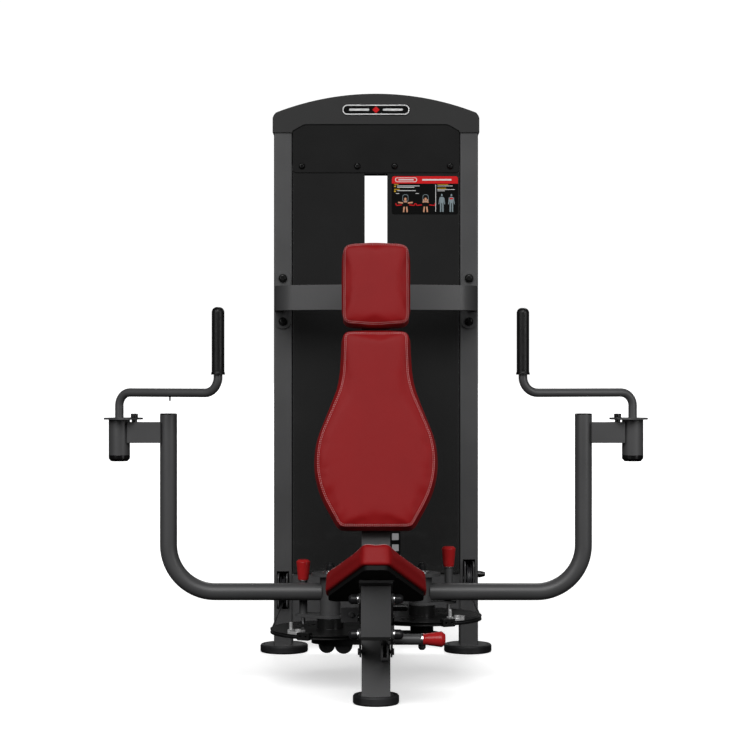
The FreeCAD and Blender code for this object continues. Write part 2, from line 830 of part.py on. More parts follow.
def make_pulley_mounts():
    """Plates and axles that carry the pulleys on the uprights and on the top crossbeam."""
    members = []
    for side, sign in SIDES.items():
        level = cable_height(side) + dim.low_pulley
        for offset in (-16, 12):
            ear = slab(f"low_ear_{len(members)}",
                       [(dim.tower_front - 35, level - 55, 14), (low_pulley_line + 20, level - 55),
                        (low_pulley_line + 20, level + 55), (dim.tower_front - 35, level + 55, 14)],
                       4, "YZ_Plane", holes=[(low_pulley_line, level, 6)])
            members.append(place(ear, sign * dim.upright_spread + offset, 0, 0))
        axle = disc(f"low_axle_{side}", 6, 38)
        members.append(place(axle, sign * dim.upright_spread - 19, low_pulley_line, level,
                             (0, 1, 0), 90))
        x = sign * (dim.upright_spread - dim.top_pulley)
        for offset in (-12, 16):
            ear = slab(f"top_ear_{len(members)}",
                       [(x - 25, dim.rod_top + 24), (x + 25, dim.rod_top + 24),
                        (x + 25, dim.top_pulley_level + 25, 24),
                        (x - 25, dim.top_pulley_level + 25, 24)],
                       4, "XZ_Plane", holes=[(x, dim.top_pulley_level, 6)])
            members.append(place(ear, 0, dim.stack_line + offset, 0))
        axle = disc(f"top_axle_{side}", 6, 38)
        members.append(place(axle, x, dim.stack_line + 19, dim.top_pulley_level, (1, 0, 0), 90))
    group("pulley_mounts", members)


def make_cables():
    """Taut cables: cam to low pulley, up the upright, over the top pulley, down to the stack."""
    radius = float(dim.cable_radius)
    runs, drops = [], []
    stud_top = float(dim.stack_bottom + dim.plate_count * dim.plate_pitch) + 80
    for side, sign in SIDES.items():
        x = sign * float(dim.upright_spread)
        level = float(cable_height(side))
        line, low = float(dim.stack_line), float(dim.low_pulley)
        start = Vector(x, float(hub_line) + 62, level)
        bend = Vector(x, line - low, level)
        rise = Vector(x, line, level + low)
        top = float(dim.top_pulley_level)
        crest = Vector(x, line, top)
        turn = float(dim.top_pulley)
        far = Vector(x - sign * 2 * turn, line, top)
        cos45 = math.cos(math.radians(45))
        edges = [
            Part.LineSegment(start, bend),
            Part.Arc(bend, Vector(x, line - low + low * cos45, level + low - low * cos45), rise),
            Part.LineSegment(rise, crest),
            Part.Arc(crest, Vector(x - sign * turn, line, top + turn), far),
        ]
        path = Part.Wire([edge.toShape() for edge in edges])
        section = Part.Wire(Part.Circle(start, Vector(0, 1, 0), radius).toShape())
        tube = path.makePipeShell([section], True, False)
        wanted = math.pi * radius ** 2 * path.Length
        if abs(tube.Volume - wanted) > 0.02 * wanted:
            raise RuntimeError(f"cable volume {tube.Volume} against {wanted}")
        print(f"cable {side}: {path.Length:.0f} mm to the top pulley, bends {low} and {turn}")
        runs.append(tube)
        drop = Part.makeCylinder(radius, top - stud_top, Vector(far.x, line, stud_top))
        drops.append(drop)
    for label, solids in (("cable_runs", runs), ("cable_drops", drops)):
        feature = doc.addObject("Part::Feature", label)
        feature.Label = label
        feature.Shape = Part.makeCompound(solids)
        feature.Placement = Placement()
        node(feature)


# ---------------------------------------------------------------- curved band and pads


def make_band():
    """Flat tube bent round in front of the tower, on two round-ended plates."""
    level, height = dim.band_level, dim.band_height
    front = float(dim.tower_front) - 8
    middle = float(dim.tower_front - dim.band_bulge)
    end_x, bend_x, bend_y = 315.0, 266.0, middle + 38
    crown = Part.Arc(Vector(-bend_x, bend_y, 0), Vector(0, middle, 0), Vector(bend_x, bend_y, 0))
    tangent = Vector(*crown.tangent(crown.LastParameter)[0])
    if tangent.x < 0:
        tangent = -tangent
    radius = (end_x - bend_x) / (1 - tangent.y)
    centre = Vector(end_x - radius, bend_y + tangent.x * radius, 0)
    knee = Vector(end_x, centre.y, 0)
    half = math.radians(45) - math.atan2(tangent.y, tangent.x) / 2
    mid_angle = math.atan2(bend_y - centre.y, bend_x - centre.x) + half
    middle_point = centre + Vector(math.cos(mid_angle), math.sin(mid_angle), 0) * radius

    def flip(point):
        return Vector(-point.x, point.y, 0)

    edges = [
        Part.LineSegment(Vector(-end_x, front, 0), flip(knee)).toShape(),
        Part.Arc(flip(knee), flip(middle_point), Vector(-bend_x, bend_y, 0)).toShape(),
        crown.toShape(),
        Part.Arc(Vector(bend_x, bend_y, 0), middle_point, knee).toShape(),
        Part.LineSegment(knee, Vector(end_x, front, 0)).toShape(),
    ]
    line = Part.Wire(edges)
    thickness, wall = 30.0, 3.0
    outer = band_solid(line, thickness, float(height), float(level), front)
    inner = band_solid(line, thickness - 2 * wall, float(height) - 2 * wall, float(level), front)
    feature = doc.addObject("Part::Feature", "band_tube")
    feature.Shape = outer.cut(inner)
    feature.Placement = Placement()
    members = [feature]
    for sign in SIDES.values():
        plate = slab(f"band_plate_{sign + 1}",
                     [(-26, -94, 25.9), (26, -94, 25.9), (26, 94, 25.9), (-26, 94, 25.9)],
                     8, "XZ_Plane")
        members.append(place(plate, sign * dim.upright_spread, dim.tower_front, level - 2))
    joined("curved_band", members)


def band_solid(line, thickness, height, level, front):
    """The band's solid: its centre line thickened both ways and raised."""
    outer = line.makeOffset2D(thickness / 2, 2, False, True)
    inner = line.makeOffset2D(-thickness / 2, 2, False, True)
    ends = [vertex.Point for vertex in outer.OrderedVertexes]
    first, last = ends[0], ends[-1]
    others = [vertex.Point for vertex in inner.OrderedVertexes]
    near = min((others[0], others[-1]), key=first.distanceToPoint)
    far = min((others[0], others[-1]), key=last.distanceToPoint)
    close = [Part.LineSegment(first, near).toShape(), Part.LineSegment(last, far).toShape()]
    wires = Part.Wire(Part.__sortEdges__(outer.Edges + inner.Edges + close))
    face = Part.Face(wires)
    solid = face.extrude(Vector(0, 0, height))
    solid.translate(Vector(0, 0, level - height / 2))
    return solid


def make_stay():
    """Hidden tube that ties the column to the middle of the band."""
    across = dim.column_size / math.cos(math.radians(float(dim.column_lean)))
    low, high = dim.band_level - 30, dim.band_level + 30
    body = new_body("band_stay")
    side = new_sketch(body, "YZ_Plane")
    end = station(dim.band_bulge) - 15
    draw(side, [(column_face(low) + across, low), (end, low), (end, high),
                (column_face(high) + across, high)])
    pad(body, side, 60, symmetric=True)
    node(body)


def lean_place(body, forward, along=0):
    """Stands a body on the column's slope: its -Y is away from the column's front face."""
    angle = math.radians(float(dim.column_lean))
    y = column_face(dim.foot_height) - math.cos(angle) * forward + math.sin(angle) * along
    z = dim.foot_height + math.sin(angle) * forward + math.cos(angle) * along
    return place(body, 0, y, z, (1, 0, 0), -float(dim.column_lean))


def back_outline(inset):
    """Bulb outline of the backrest: narrow neck, wide middle, flat foot."""
    return [(-97 + inset, 1020 - inset, 25 - inset), (-101.5 + inset, 868, 250),
            (-202 + inset * 1.2, 630, 262 - inset), (-104 + inset, 453 + inset, 30 - inset),
            (104 - inset, 453 + inset, 30 - inset), (202 - inset * 1.2, 630, 262 - inset),
            (101.5 - inset, 868, 250), (97 - inset, 1020 - inset, 25 - inset)]


def head_outline(inset):
    """Headrest outline with rounded corners and crowned ends."""
    half = 97.5 - inset
    return [(-half, 1034 + inset, 25 - inset), (0, 1026.6 + inset, 600),
            (half, 1034 + inset, 25 - inset), (half, 1269 - inset, 25 - inset),
            (0, 1277 - inset, 600), (-half, 1269 - inset, 25 - inset)]


def make_pads():
    boards = []
    for label, outline in (("backrest_pad", back_outline), ("headrest_pad", head_outline)):
        cushion = slab(label, outline(0), dim.pad_thickness, "XZ_Plane")
        node(lean_place(cushion, 25.3))
        board = slab(f"{label}_board", outline(10), 12, "XZ_Plane")
        boards.append(lean_place(board, 13))
    for low, high in ((560, 600), (850, 890), (1110, 1150)):
        strap = slab(f"pad_strap_{low}", [(-70, low, 6), (70, low, 6), (70, high, 6),
                                          (-70, high, 6)], 13, "XZ_Plane")
        boards.append(lean_place(strap, 0))
    group("pad_boards", boards)


# ---------------------------------------------------------------- arms


def hub_place(body, side, height, extra=0):
    """Puts a piece that is drawn from the hub outwards on its side of the machine."""
    sign = SIDES[side]
    angle = extra if sign > 0 else 180 - extra
    return place(body, sign * dim.hub_spread, hub_line, height, (0, 0, 1), angle)


def make_arm(side):
    """Welded arm: hub sleeve, bent tube, box outrigger and handle socket."""
    sleeve_low = cam_height(side) + 50
    sleeve_high = dim.pivot_plate_bottom - 2
    bore = dim.shaft_radius + RUNNING
    tube = swept(f"arm_tube_{side}", [(dim.arm_reach, dim.arm_top),
                                      (dim.arm_reach, dim.arm_height, dim.arm_bend),
                                      (dim.sleeve_radius - 6, dim.arm_height)],
                 dim.arm_tube_radius, dim.tube_wall)
    hub_place(tube, side, 0)
    sleeve = disc(f"arm_sleeve_{side}", dim.sleeve_radius, sleeve_high - sleeve_low, bore)
    hub_place(sleeve, side, sleeve_low)
    near = dim.arm_reach + dim.arm_tube_radius - 5
    far = dim.socket_reach - dim.socket_radius + 6
    outrigger = slab(f"arm_box_{side}", [(near, -30, 4), (far, -30, 4), (far, 30, 4),
                                         (near, 30, 4)], 60)
    hub_place(outrigger, side, 714)
    socket = disc(f"arm_socket_{side}", dim.socket_radius, 781 - 678,
                  dim.handle_tube_radius + RUNNING)
    place(socket, SIDES[side] * (dim.hub_spread + dim.socket_reach), hub_line, 678)
    weld = doc.addObject("Part::MultiFuse", f"arm_blank_{side}")
    weld.Shapes = [tube, outrigger, sleeve, socket]
    bores = [disc(f"arm_bore_{side}", bore, 120), disc(f"socket_bore_{side}",
                                                       dim.handle_tube_radius + RUNNING, 120)]
    hub_place(bores[0], side, sleeve_low - 5)
    place(bores[1], SIDES[side] * (dim.hub_spread + dim.socket_reach), hub_line, 670)
    tools = doc.addObject("Part::MultiFuse", f"arm_bores_{side}")
    tools.Shapes = bores
    frame = doc.addObject("Part::Cut", f"arm_frame_{side}")
    frame.Label = f"arm_frame_{side}"
    frame.Base = weld
    frame.Tool = tools
    node(frame)
    make_arm_caps(side)


def make_arm_caps(side):
    """Plugs of the tube and the socket, and the stop that the swivel disc turns against."""
    sign = SIDES[side]
    plug = turned(f"tube_plug_{side}", [(0, 0), (dim.arm_tube_radius, 0),
                                        (dim.arm_tube_radius, 2), (dim.arm_tube_radius - 2, 3.5),
                                        (0, 3.5)])
    place(plug, sign * (dim.hub_spread + dim.arm_reach), hub_line, dim.arm_top)
    end = turned(f"socket_plug_{side}", [(0, 0), (24, 0), (dim.socket_radius, 8),
                                         (dim.socket_radius, 18), (0, 18)])
    place(end, sign * (dim.hub_spread + dim.socket_reach), hub_line, 660)
    stop = turned(f"swivel_stop_{side}", [(0, 0), (8, 0), (8, 13.5), (10.5, 13.5),
                                          (10.5, 25, 2), (0, 25)])
    place(stop, sign * (dim.hub_spread + dim.socket_reach - 44), hub_line, 774)
    group(f"arm_caps_{side}", [plug, end, stop])


def make_handle(side):
    """Swivelling handle: bent rod with its slotted disc, and the rubber grip."""
    sign = SIDES[side]
    reach = dim.handle_reach
    rod = swept(f"handle_rod_{side}", [(0, 700), (0, dim.handle_height, 38),
                                       (reach, dim.handle_height, 45),
                                       (reach, dim.grip_top - 12)], dim.handle_tube_radius)
    lug = new_body(f"swivel_disc_{side}")
    face = new_sketch(lug, "XY_Plane")
    draw(face, [(-41, -41, 40), (20, -52, 30), (61, -56, 30), (61, 56, 30), (20, 52, 30),
                (-41, 41, 40)])
    pad(lug, face, 5)
    doc.recompute()
    slot = new_sketch(lug, "XY_Plane", 5)
    arc_slot(slot, 44, 9.2, sorted((sign * 6, -sign * 64)))
    pocket(lug, slot, 5)
    place(lug, 0, 0, 782)
    members = [rod, lug]
    if side == "left":
        peg = disc("handle_peg", 2.5, 14)
        members.append(place(peg, reach * 0.52, 0, dim.handle_height - 24))
    whole = joined(f"handle_{side}", members)
    swivel = HANDLE_SWIVEL[side]
    angle = 180 + swivel if sign > 0 else -swivel
    whole.Placement = Placement(Vector(sign * float(dim.hub_spread + dim.socket_reach),
                                       float(hub_line), 0), Rotation(Vector(0, 0, 1), angle))
    grip = turned(f"grip_{side}", [(dim.handle_tube_radius, 0), (19.5, 0), (19.5, 5, 1.5),
                                   (dim.grip_radius, 8), (dim.grip_radius, 192, 15),
                                   (0, 192), (0, 180), (dim.handle_tube_radius, 180)])
    turn = math.radians(angle)
    x = sign * (dim.hub_spread + dim.socket_reach) + reach * math.cos(turn)
    y = hub_line + reach * math.sin(turn)
    node(place(grip, x, y, dim.grip_bottom))


def arc_slot(sketch, radius, half, angles):
    """A curved slot round the origin between two angles in degrees."""
    low, high = (math.radians(a) for a in angles)

    def spot(r, a):
        return Vector(r * math.cos(a), r * math.sin(a), 0)

    middle = (low + high) / 2
    ends = []
    for angle, outward in ((low, -1), (high, 1)):
        tip = spot(radius, angle) + spot(half, angle + outward * math.pi / 2)
        ends.append(Part.Arc(spot(radius - half, angle), tip, spot(radius + half, angle)))
    sketch.addGeometry(ends[0], False)
    sketch.addGeometry(ends[1], False)
    for r in (radius - half, radius + half):
        sketch.addGeometry(Part.Arc(spot(r, low), spot(r, middle), spot(r, high)), False)


def make_lever(side):
    """Plate on the arm's sleeve with the barrel of the start-position pin."""
    bore = dim.shaft_radius + RUNNING
    tip = dim.pin_reach + 18
    plate = slab(f"lever_bar_{side}", [(-38, -38, 37), (30, -38, 40), (tip, -27, 20),
                                       (tip, 27, 20), (30, 38, 40), (-38, 38, 37)], 8,
                 holes=[(0, 0, bore), (dim.pin_reach, 0, 5.5)])
    hub_place(plate, side, cam_height(side) + 42, PIN_ANGLE)
    barrel = disc(f"lever_barrel_{side}", 12, 96, 5.5)
    x, y = pin_place(side)
    place(barrel, x, y, cam_height(side) + 50)
    joined(f"lever_plate_{side}", [plate, barrel])


def pin_place(side):
    """Where the start-position pin stands, behind the arm's tube."""
    angle = math.radians(PIN_ANGLE)
    x = SIDES[side] * (dim.hub_spread + dim.pin_reach * math.cos(angle))
    return x, hub_line + dim.pin_reach * math.sin(angle)


def make_pop_pin(side):
    """Spring pin of the start position: rod in the barrel and a tapered knob on top."""
    pin = turned(f"pop_pin_{side}", [(0, 0), (5.42, 0), (5.42, 128), (15, 128), (15, 131),
                                     (16, 134), (21, 184, 4), (14, 190, 3), (0, 190)])
    x, y = pin_place(side)
    node(place(pin, x, y, cam_height(side) + 18.5))


def make_cam(side):
    """Grooved cam disc on its hub, with the index holes and the cable's clamp blocks."""
    bore = dim.shaft_radius + RUNNING
    rim, floor = dim.cam_radius, dim.cam_rim - dim.cable_radius
    wheel = turned(f"cam_disc_{side}",
                   [(bore, 0), (rim, 0), (rim, 2.5), (floor, 2.5), (floor, 9.5), (rim, 9.5),
                    (rim, 12), (39, 12), (39, 41), (bore, 41)])
    doc.recompute()
    sign = SIDES[side]
    holes = new_sketch(wheel, "XY_Plane", dim.cam_thickness)
    for step in range(-2, 3):
        angle = math.radians(sign * PIN_ANGLE + step * 15)
        ring(holes, dim.pin_reach * math.cos(angle), dim.pin_reach * math.sin(angle), 6)
    pocket(wheel, holes, dim.cam_thickness)
    members = [wheel] + make_clamp(side, -sign * 66) + make_anchor(side, -sign * 54)
    whole = joined(f"cam_{side}", members)
    angle = 0 if SIDES[side] > 0 else 180
    whole.Placement = Placement(Vector(SIDES[side] * float(dim.hub_spread), float(hub_line),
                                       float(cam_height(side))), Rotation(Vector(0, 0, 1), angle))


def make_clamp(side, angle):
    """Block on the cam's rim round the cable's end, with a channel and two screw holes."""
    block = slab(f"clamp_block_{side}", [(-19, -2, 3), (19, -2, 3), (19, 20, 3), (-19, 20, 3)],
                 22, "XZ_Plane", holes=[(-9, 9, 3), (9, 9, 3)])
    turn = math.radians(angle)
    reach = dim.cam_rim - 11
    place(block, reach * math.cos(turn), reach * math.sin(turn), 0, (0, 0, 1), angle + 90)
    channel = doc.addObject("Part::Torus", f"clamp_channel_{side}")
    channel.Radius1 = float(dim.cam_rim)
    channel.Radius2 = float(dim.cable_radius) + 0.15
    channel.Placement = Placement(Vector(0, 0, float(dim.cam_thickness) / 2),
                                  Rotation(Vector(0, 0, 1), 0))
    clamp = doc.addObject("Part::Cut", f"clamp_{side}")
    clamp.Base = block
    clamp.Tool = channel
    return [clamp]


def make_anchor(side, angle):
    """Plated anchor on top of the cam: foot, two raised ends, a stud and a nut."""
    foot = slab(f"anchor_foot_{side}", [(146, -24, 4), (172, -24, 4), (172, 24, 4),
                                        (146, 24, 4)], 5)
    members = [place(foot, 0, 0, 12, (0, 0, 1), angle)]
    turn = math.radians(angle)
    for across in (-20, 20):
        rib = slab(f"anchor_rib_{side}_{across + 20}",
                   [(148, across - 4), (170, across - 4), (170, across + 4), (148, across + 4)], 12)
        members.append(place(rib, 0, 0, 12, (0, 0, 1), angle))
    for across, radius, height in ((-20, 5, 30), (6, 9, 12)):
        x = 159 * math.cos(turn) - across * math.sin(turn)
        y = 159 * math.sin(turn) + across * math.cos(turn)
        stud = disc(f"anchor_stud_{side}_{radius}", radius, height)
        members.append(place(stud, x, y, 14))
    return members


def make_wrap(side):
    """The stretch of cable that lies in the cam's groove, from its clamp round the back."""
    radius = float(dim.cable_radius)
    sign = SIDES[side]
    wrap = Part.makeTorus(float(dim.cam_rim), radius, Vector(0, 0, 0), Vector(0, 0, 1),
                          0, 360, 150)
    feature = doc.addObject("Part::Feature", f"cable_wrap_{side}")
    feature.Label = f"cable_wrap_{side}"
    feature.Shape = wrap
    start = 180 - 80 if sign < 0 else -70
    feature.Placement = Placement(Vector(sign * float(dim.hub_spread), float(hub_line),
                                         float(cable_height(side))),
                                  Rotation(Vector(0, 0, 1), start))
    node(feature)


# ---------------------------------------------------------------- seat


def tilt_place(body, lift):
    """Puts a piece drawn in the seat's plane on the slope, the given distance above it."""
    angle = math.radians(float(dim.seat_tilt))
    y = station(dim.seat_nose) + math.sin(angle) * lift
    z = dim.seat_nose_level + math.cos(angle) * lift
    return place(body, 0, y, z, (1, 0, 0), -float(dim.seat_tilt))


def seat_outline(inset):
    """Six-sided seat: narrow nose, long slants, parallel sides and a straight back edge."""
    nose, half = 36 - inset * 0.8, 138 - inset
    long = dim.seat_length
    return [(-nose, inset, 16), (nose, inset, 16), (half, 265, 30), (half, long - inset, 20),
            (-half, long - inset, 20), (-half, 265, 30)]


def make_seat():
    cushion = slab("seat_pad", seat_outline(0), dim.pad_thickness - 0.3)
    node(tilt_place(cushion, 0.3))
    board = slab("seat_board", seat_outline(8), 12)
    node(tilt_place(board, -12))
    make_seat_bracket()
    make_links()
    make_seat_bolts()
    make_seat_pin()


def make_seat_bracket():
    """Upright box under the seat with a sloping top plate."""
    front = station(dim.seat_pivot_reach) - 30
    back = front + 60
    slope = math.tan(math.radians(float(dim.seat_tilt)))
    under = 12 / math.cos(math.radians(float(dim.seat_tilt)))

    def top(y):
        return dim.seat_nose_level - under - (y - station(dim.seat_nose)) * slope

    box = new_body("seat_box")
    side = new_sketch(box, "YZ_Plane")
    draw(side, [(front, 206), (back, 206), (back, top(back) - 4), (front, top(front) - 4)])
    pad(box, side, dim.column_size, symmetric=True)
    doc.recompute()
    holes = new_sketch(box, "YZ_Plane")
    for y, z in front_pivots():
        ring(holes, y, z, 6)
    pocket(box, holes, dim.column_size + 2, symmetric=True)
    hollow = new_sketch(box, "YZ_Plane")
    draw(hollow, [(front + 4, 200), (back - 4, 200), (back - 4, top(back) - 12),
                  (front + 4, top(front) - 12)])
    pocket(box, hollow, dim.column_size - 8, symmetric=True)
    plate = new_body("seat_top_plate")
    outline = new_sketch(plate, "YZ_Plane")
    near, far = front - 30, back + 60
    draw(outline, [(near, top(near) - 7), (far, top(far) - 7), (far, top(far)),
                   (near, top(near))])
    pad(plate, outline, 90, symmetric=True)
    joined("seat_bracket", [box, plate])


def link_bar(label, pivots, x):
    """Flat link with round ends between two pivots, beside the box and the column."""
    (y0, z0), (y1, z1) = pivots
    run, rise = float(y1 - y0), float(z1 - z0)
    length = math.hypot(run, rise)
    bar = slab(label, [(-16, -16, 15.9), (length + 16, -16, 15.9), (length + 16, 16, 15.9),
                       (-16, 16, 15.9)], 5, "XY_Plane",
               holes=[(0, 0, 6 + RUNNING), (length, 0, 6 + RUNNING)])
    bar.Placement = Placement(Vector(x, float(y0), float(z0)),
                          Rotation(Vector(0, run, rise).normalize(),
                                   Vector(0, -rise, run).normalize(), Vector(1, 0, 0), "XYZ"))
    bind(bar, "Placement.Base.y", y0)
    bind(bar, "Placement.Base.z", z0)
    return bar


def make_links():
    """Two pairs of parallel links; the lower right one carries the locking pin's tube."""
    low_front, high_front = front_pivots()
    low_rear, high_rear = rear_pivots()
    uppers = [link_bar(f"upper_link_{n}", (high_front, high_rear), x)
              for n, x in enumerate((-46, 41))]
    group("upper_links", uppers)
    lowers = [link_bar(f"lower_link_{n}", (low_front, low_rear), x)
              for n, x in enumerate((-46, 41))]
    tube = disc("pin_tube", 14.5, 76, 6)
    y, z = pin_spot()
    place(tube, 45, y, z, (0, 1, 0), 90)
    cut = disc("pin_tube_bore", 6, 20)
    place(cut, 35, y, z, (0, 1, 0), 90)
    weld = doc.addObject("Part::MultiFuse", "lower_link_right")
    weld.Shapes = [lowers[1], tube]
    drilled = doc.addObject("Part::Cut", "lower_link_drilled")
    drilled.Base = weld
    drilled.Tool = cut
    group("lower_links", [lowers[0], drilled])


def pin_spot():
    """Where the locking pin crosses the lower link, a quarter of the way to the column."""
    (y0, z0), (y1, z1) = front_pivots()[0], rear_pivots()[0]
    part = 0.27
    return y0 + dim.link_run * part, z0 - dim.link_rise * part


def make_seat_bolts():
    """Pivot bolts of the seat links: dome caps in front, flat heads at the column."""
    members = []
    for y, z in front_pivots():
        bolt = turned(f"front_bolt_{len(members)}",
                      [(0, -73), (8, -73, 3), (13.5, -66, 6), (13.5, -50.4), (14, -50.4),
                       (14, -46.6), (6, -46.6), (6, 46.6), (14, 46.6), (14, 50.4),
                       (13.5, 50.4), (13.5, 66, 6), (8, 73, 3), (0, 73)])
        members.append(place(bolt, 0, y, z, (0, 1, 0), 90))
    group("seat_front_bolts", members)
    members = []
    for y, z in rear_pivots():
        bolt = turned(f"rear_bolt_{len(members)}",
                      [(0, -51), (9, -51, 2), (10, -46.6), (6, -46.6), (6, 46.6), (10, 46.6),
                       (9, 51, 2), (0, 51)])
        members.append(place(bolt, 0, y, z, (0, 1, 0), 90))
    stub = turned("column_stub", [(0, 0), (9, 0), (9, 8), (10, 8), (10, 50, 5), (0, 50)])
    members.append(place(stub, 40, foot_line + 60, 259, (0, 1, 0), 90))
    group("seat_rear_bolts", members)


def make_seat_pin():
    """Locking pin of the seat height: rod, collar nut and tapered knob to the right."""
    y, z = pin_spot()
    pin = turned("seat_pin", [(0, 0), (5.92, 0), (5.92, 86), (16, 86), (16, 92), (15, 96),
                              (21.5, 142, 5), (13, 152, 4), (0, 152)])
    node(place(pin, 36, y, z, (0, 1, 0), 90))


# ---------------------------------------------------------------- build and write

make_uprights()
make_crossbeams()
make_cover()
make_header()
make_button_bolts()
make_panels()
make_placard()
make_badge()
make_stack()
make_head_plate()
make_selector_pin()
make_feet()
make_column()
make_base()
make_pivot_beam()
make_top_pivot()
make_pulleys()
make_pulley_mounts()
make_cables()
make_band()
make_stay()
make_pads()
for side_name in SIDES:
    make_arm(side_name)
    make_handle(side_name)
    make_lever(side_name)
    make_pop_pin(side_name)
    make_cam(side_name)
    make_wrap(side_name)
make_seat()

doc.recompute()
for thing in doc.Objects:
    if "Invalid" in thing.State or "Error" in thing.State:
        raise RuntimeError(f"{thing.Label}: {thing.State}")
os.makedirs("parts", exist_ok=True)
for label, thing in sorted(nodes.items()):
    shape = thing.Shape
    if shape.isNull() or not shape.isValid() or not shape.Solids:
        raise RuntimeError(f"{label}: the shape is empty or not valid")
    shape.exportStep(os.path.join("parts", f"{label}.step"))
print(len(nodes), "nodes written")
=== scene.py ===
"""Looks of the pec deck machine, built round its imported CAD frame. Metres, +Z up, user faces -Y."""

import json
import math

import bmesh
import bpy
from mathutils import Matrix, Vector
from mathutils.bvhtree import BVHTree


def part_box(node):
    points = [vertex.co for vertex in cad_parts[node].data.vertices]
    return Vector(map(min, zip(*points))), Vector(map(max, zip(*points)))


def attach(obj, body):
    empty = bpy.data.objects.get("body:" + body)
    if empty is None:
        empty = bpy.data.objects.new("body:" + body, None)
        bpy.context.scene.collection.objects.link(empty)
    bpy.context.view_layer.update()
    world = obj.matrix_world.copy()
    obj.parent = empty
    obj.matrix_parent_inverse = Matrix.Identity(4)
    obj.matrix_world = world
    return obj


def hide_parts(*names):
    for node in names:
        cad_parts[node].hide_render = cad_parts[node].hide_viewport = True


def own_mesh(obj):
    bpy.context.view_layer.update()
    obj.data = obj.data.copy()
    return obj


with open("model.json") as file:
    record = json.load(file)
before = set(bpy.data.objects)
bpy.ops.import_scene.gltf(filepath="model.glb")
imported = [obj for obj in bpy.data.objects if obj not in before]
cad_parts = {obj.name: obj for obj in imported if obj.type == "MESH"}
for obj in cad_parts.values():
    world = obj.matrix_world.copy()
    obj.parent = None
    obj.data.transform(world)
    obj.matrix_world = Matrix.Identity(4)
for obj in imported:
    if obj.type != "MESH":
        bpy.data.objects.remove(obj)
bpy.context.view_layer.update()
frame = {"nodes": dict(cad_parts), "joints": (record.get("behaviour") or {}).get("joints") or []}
nodes = frame["nodes"]
scene = bpy.context.scene

# The machine's own angles, levels and counts, as in its CAD source. Lengths are in metres.
COLUMN_LEAN = math.radians(11)
SEAT_TILT = math.radians(22)
PLATE_COUNT = 15

# Pieces with two finishes. Knobs and the painted shade band at the foot of the seat box are measured
# from an end of their own piece, the others from the origin, with +X taken for both sides.
POP_KNOB_START = 0.1305
SEAT_KNOB_START = 0.0915
SELECTOR_KNOB_LENGTH = 0.095
PAST_THE_END = 0.4
# Height of the painted shade band at the foot of the seat box.
SEAT_SHADE_BAND = 0.009
BOLT_CAP = (0.0466, 0.0504)
HUB_NUT = (0.333, 0.3405)
ANCHOR_X = 0.2275
ANCHOR_Y = -0.2106
ANCHOR_REACH = 0.026
ANCHOR_LOW = {"left": 0.172, "right": 0.211}

# Cushion skins. Heights are above the back of the pad.
VOXEL = 0.005
ROUND_OVER = 7
ROUND_ABOVE = 0.012
HELD_BELOW = 0.016
HOLD_FADE = 0.012
CLOTH_FRAMES = 20
RELAX_ROUNDS = 4
RELAX_ABOVE = 0.014

# Cushion seams: the outline of the face, the channel along it and the stitches beside it.
FACE_FLATNESS = 0.0005
FACE_DEPTH = 0.02
OUTLINE_STEP = 0.003
SEAM_STEP = 0.004
SEAM_WIDTH = 0.0028
SEAM_GROOVE = 0.0012
SEARCH_CELL = 0.02
THREAD_OFFSET = 0.002
STITCH_PITCH = 0.0062
STITCH_HALF = 0.0023
STITCH_RADIUS = 0.00055
STITCH_SIDES = 6
# Each ring's share of the half length, share of the radius, and height over the skin.
STITCH_RINGS = ((-1, 0.45, -0.0005), (-0.55, 1, 0.0003), (0.55, 1, 0.0003), (1, 0.45, -0.0005))

# Prints: thickness of the ink, how far its layers stand out, and the tabs beside the stack.
INK = 0.0004
INK_LAYERS = (0, 0.0003, 0.0005, 0.0009)
BADGE_INK = 0.0008
STRIP_THICKNESS = 0.0006
TAB_RISE = 0.0005
STRIP_LEFT = 0.047
STRIP_RIGHT = 0.080
STRIP_OVERHANG = 0.004
TAB_LEFT = 0.0525
TAB_RIGHT = 0.0745
TAB_HALF_HEIGHT = 0.011

CABLE_RADIUS = 0.003
LEAD_SPANS = 3

# The studio. A span is where a strength changes from its first value to its last: over the
# direction's Z or Y for the world, over the distance from the origin for the floor's glow.
AMBIENT_LOW = 0.06
AMBIENT_HIGH = 0.34
BACKDROP_GLOSS = 0.8
BACKDROP_SEEN = 1.05
AMBIENT_SPAN = (-0.5, 0.9)
BACKDROP_SPAN = (0.45, 0.85)
GLOW_NEAR = 0.66
GLOW_FAR = 1.2
GLOW_SPAN = (1.6, 6.0)
FLOOR_GLOSS = 0.2
FLOOR_REACH = 400.0
CAMERA_PLACE = (0, -5.642, 0.912)
FOCAL_LENGTH = 91.2
LENS_SHIFT = -0.0013


# ---------------------------------------------------------------- shader helpers


def feed_socket(tree, socket, value):
    """Links a socket to another one, or gives it a value."""
    if isinstance(value, bpy.types.NodeSocket):
        tree.links.new(value, socket)
    else:
        socket.default_value = value


def add_node(tree, kind, inputs=None, **settings):
    """A new node with its settings, and with each input linked or given a value."""
    made = tree.nodes.new(kind)
    for key, value in settings.items():
        setattr(made, key, value)
    for key, value in (inputs or {}).items():
        feed_socket(tree, made.inputs[key], value)
    return made


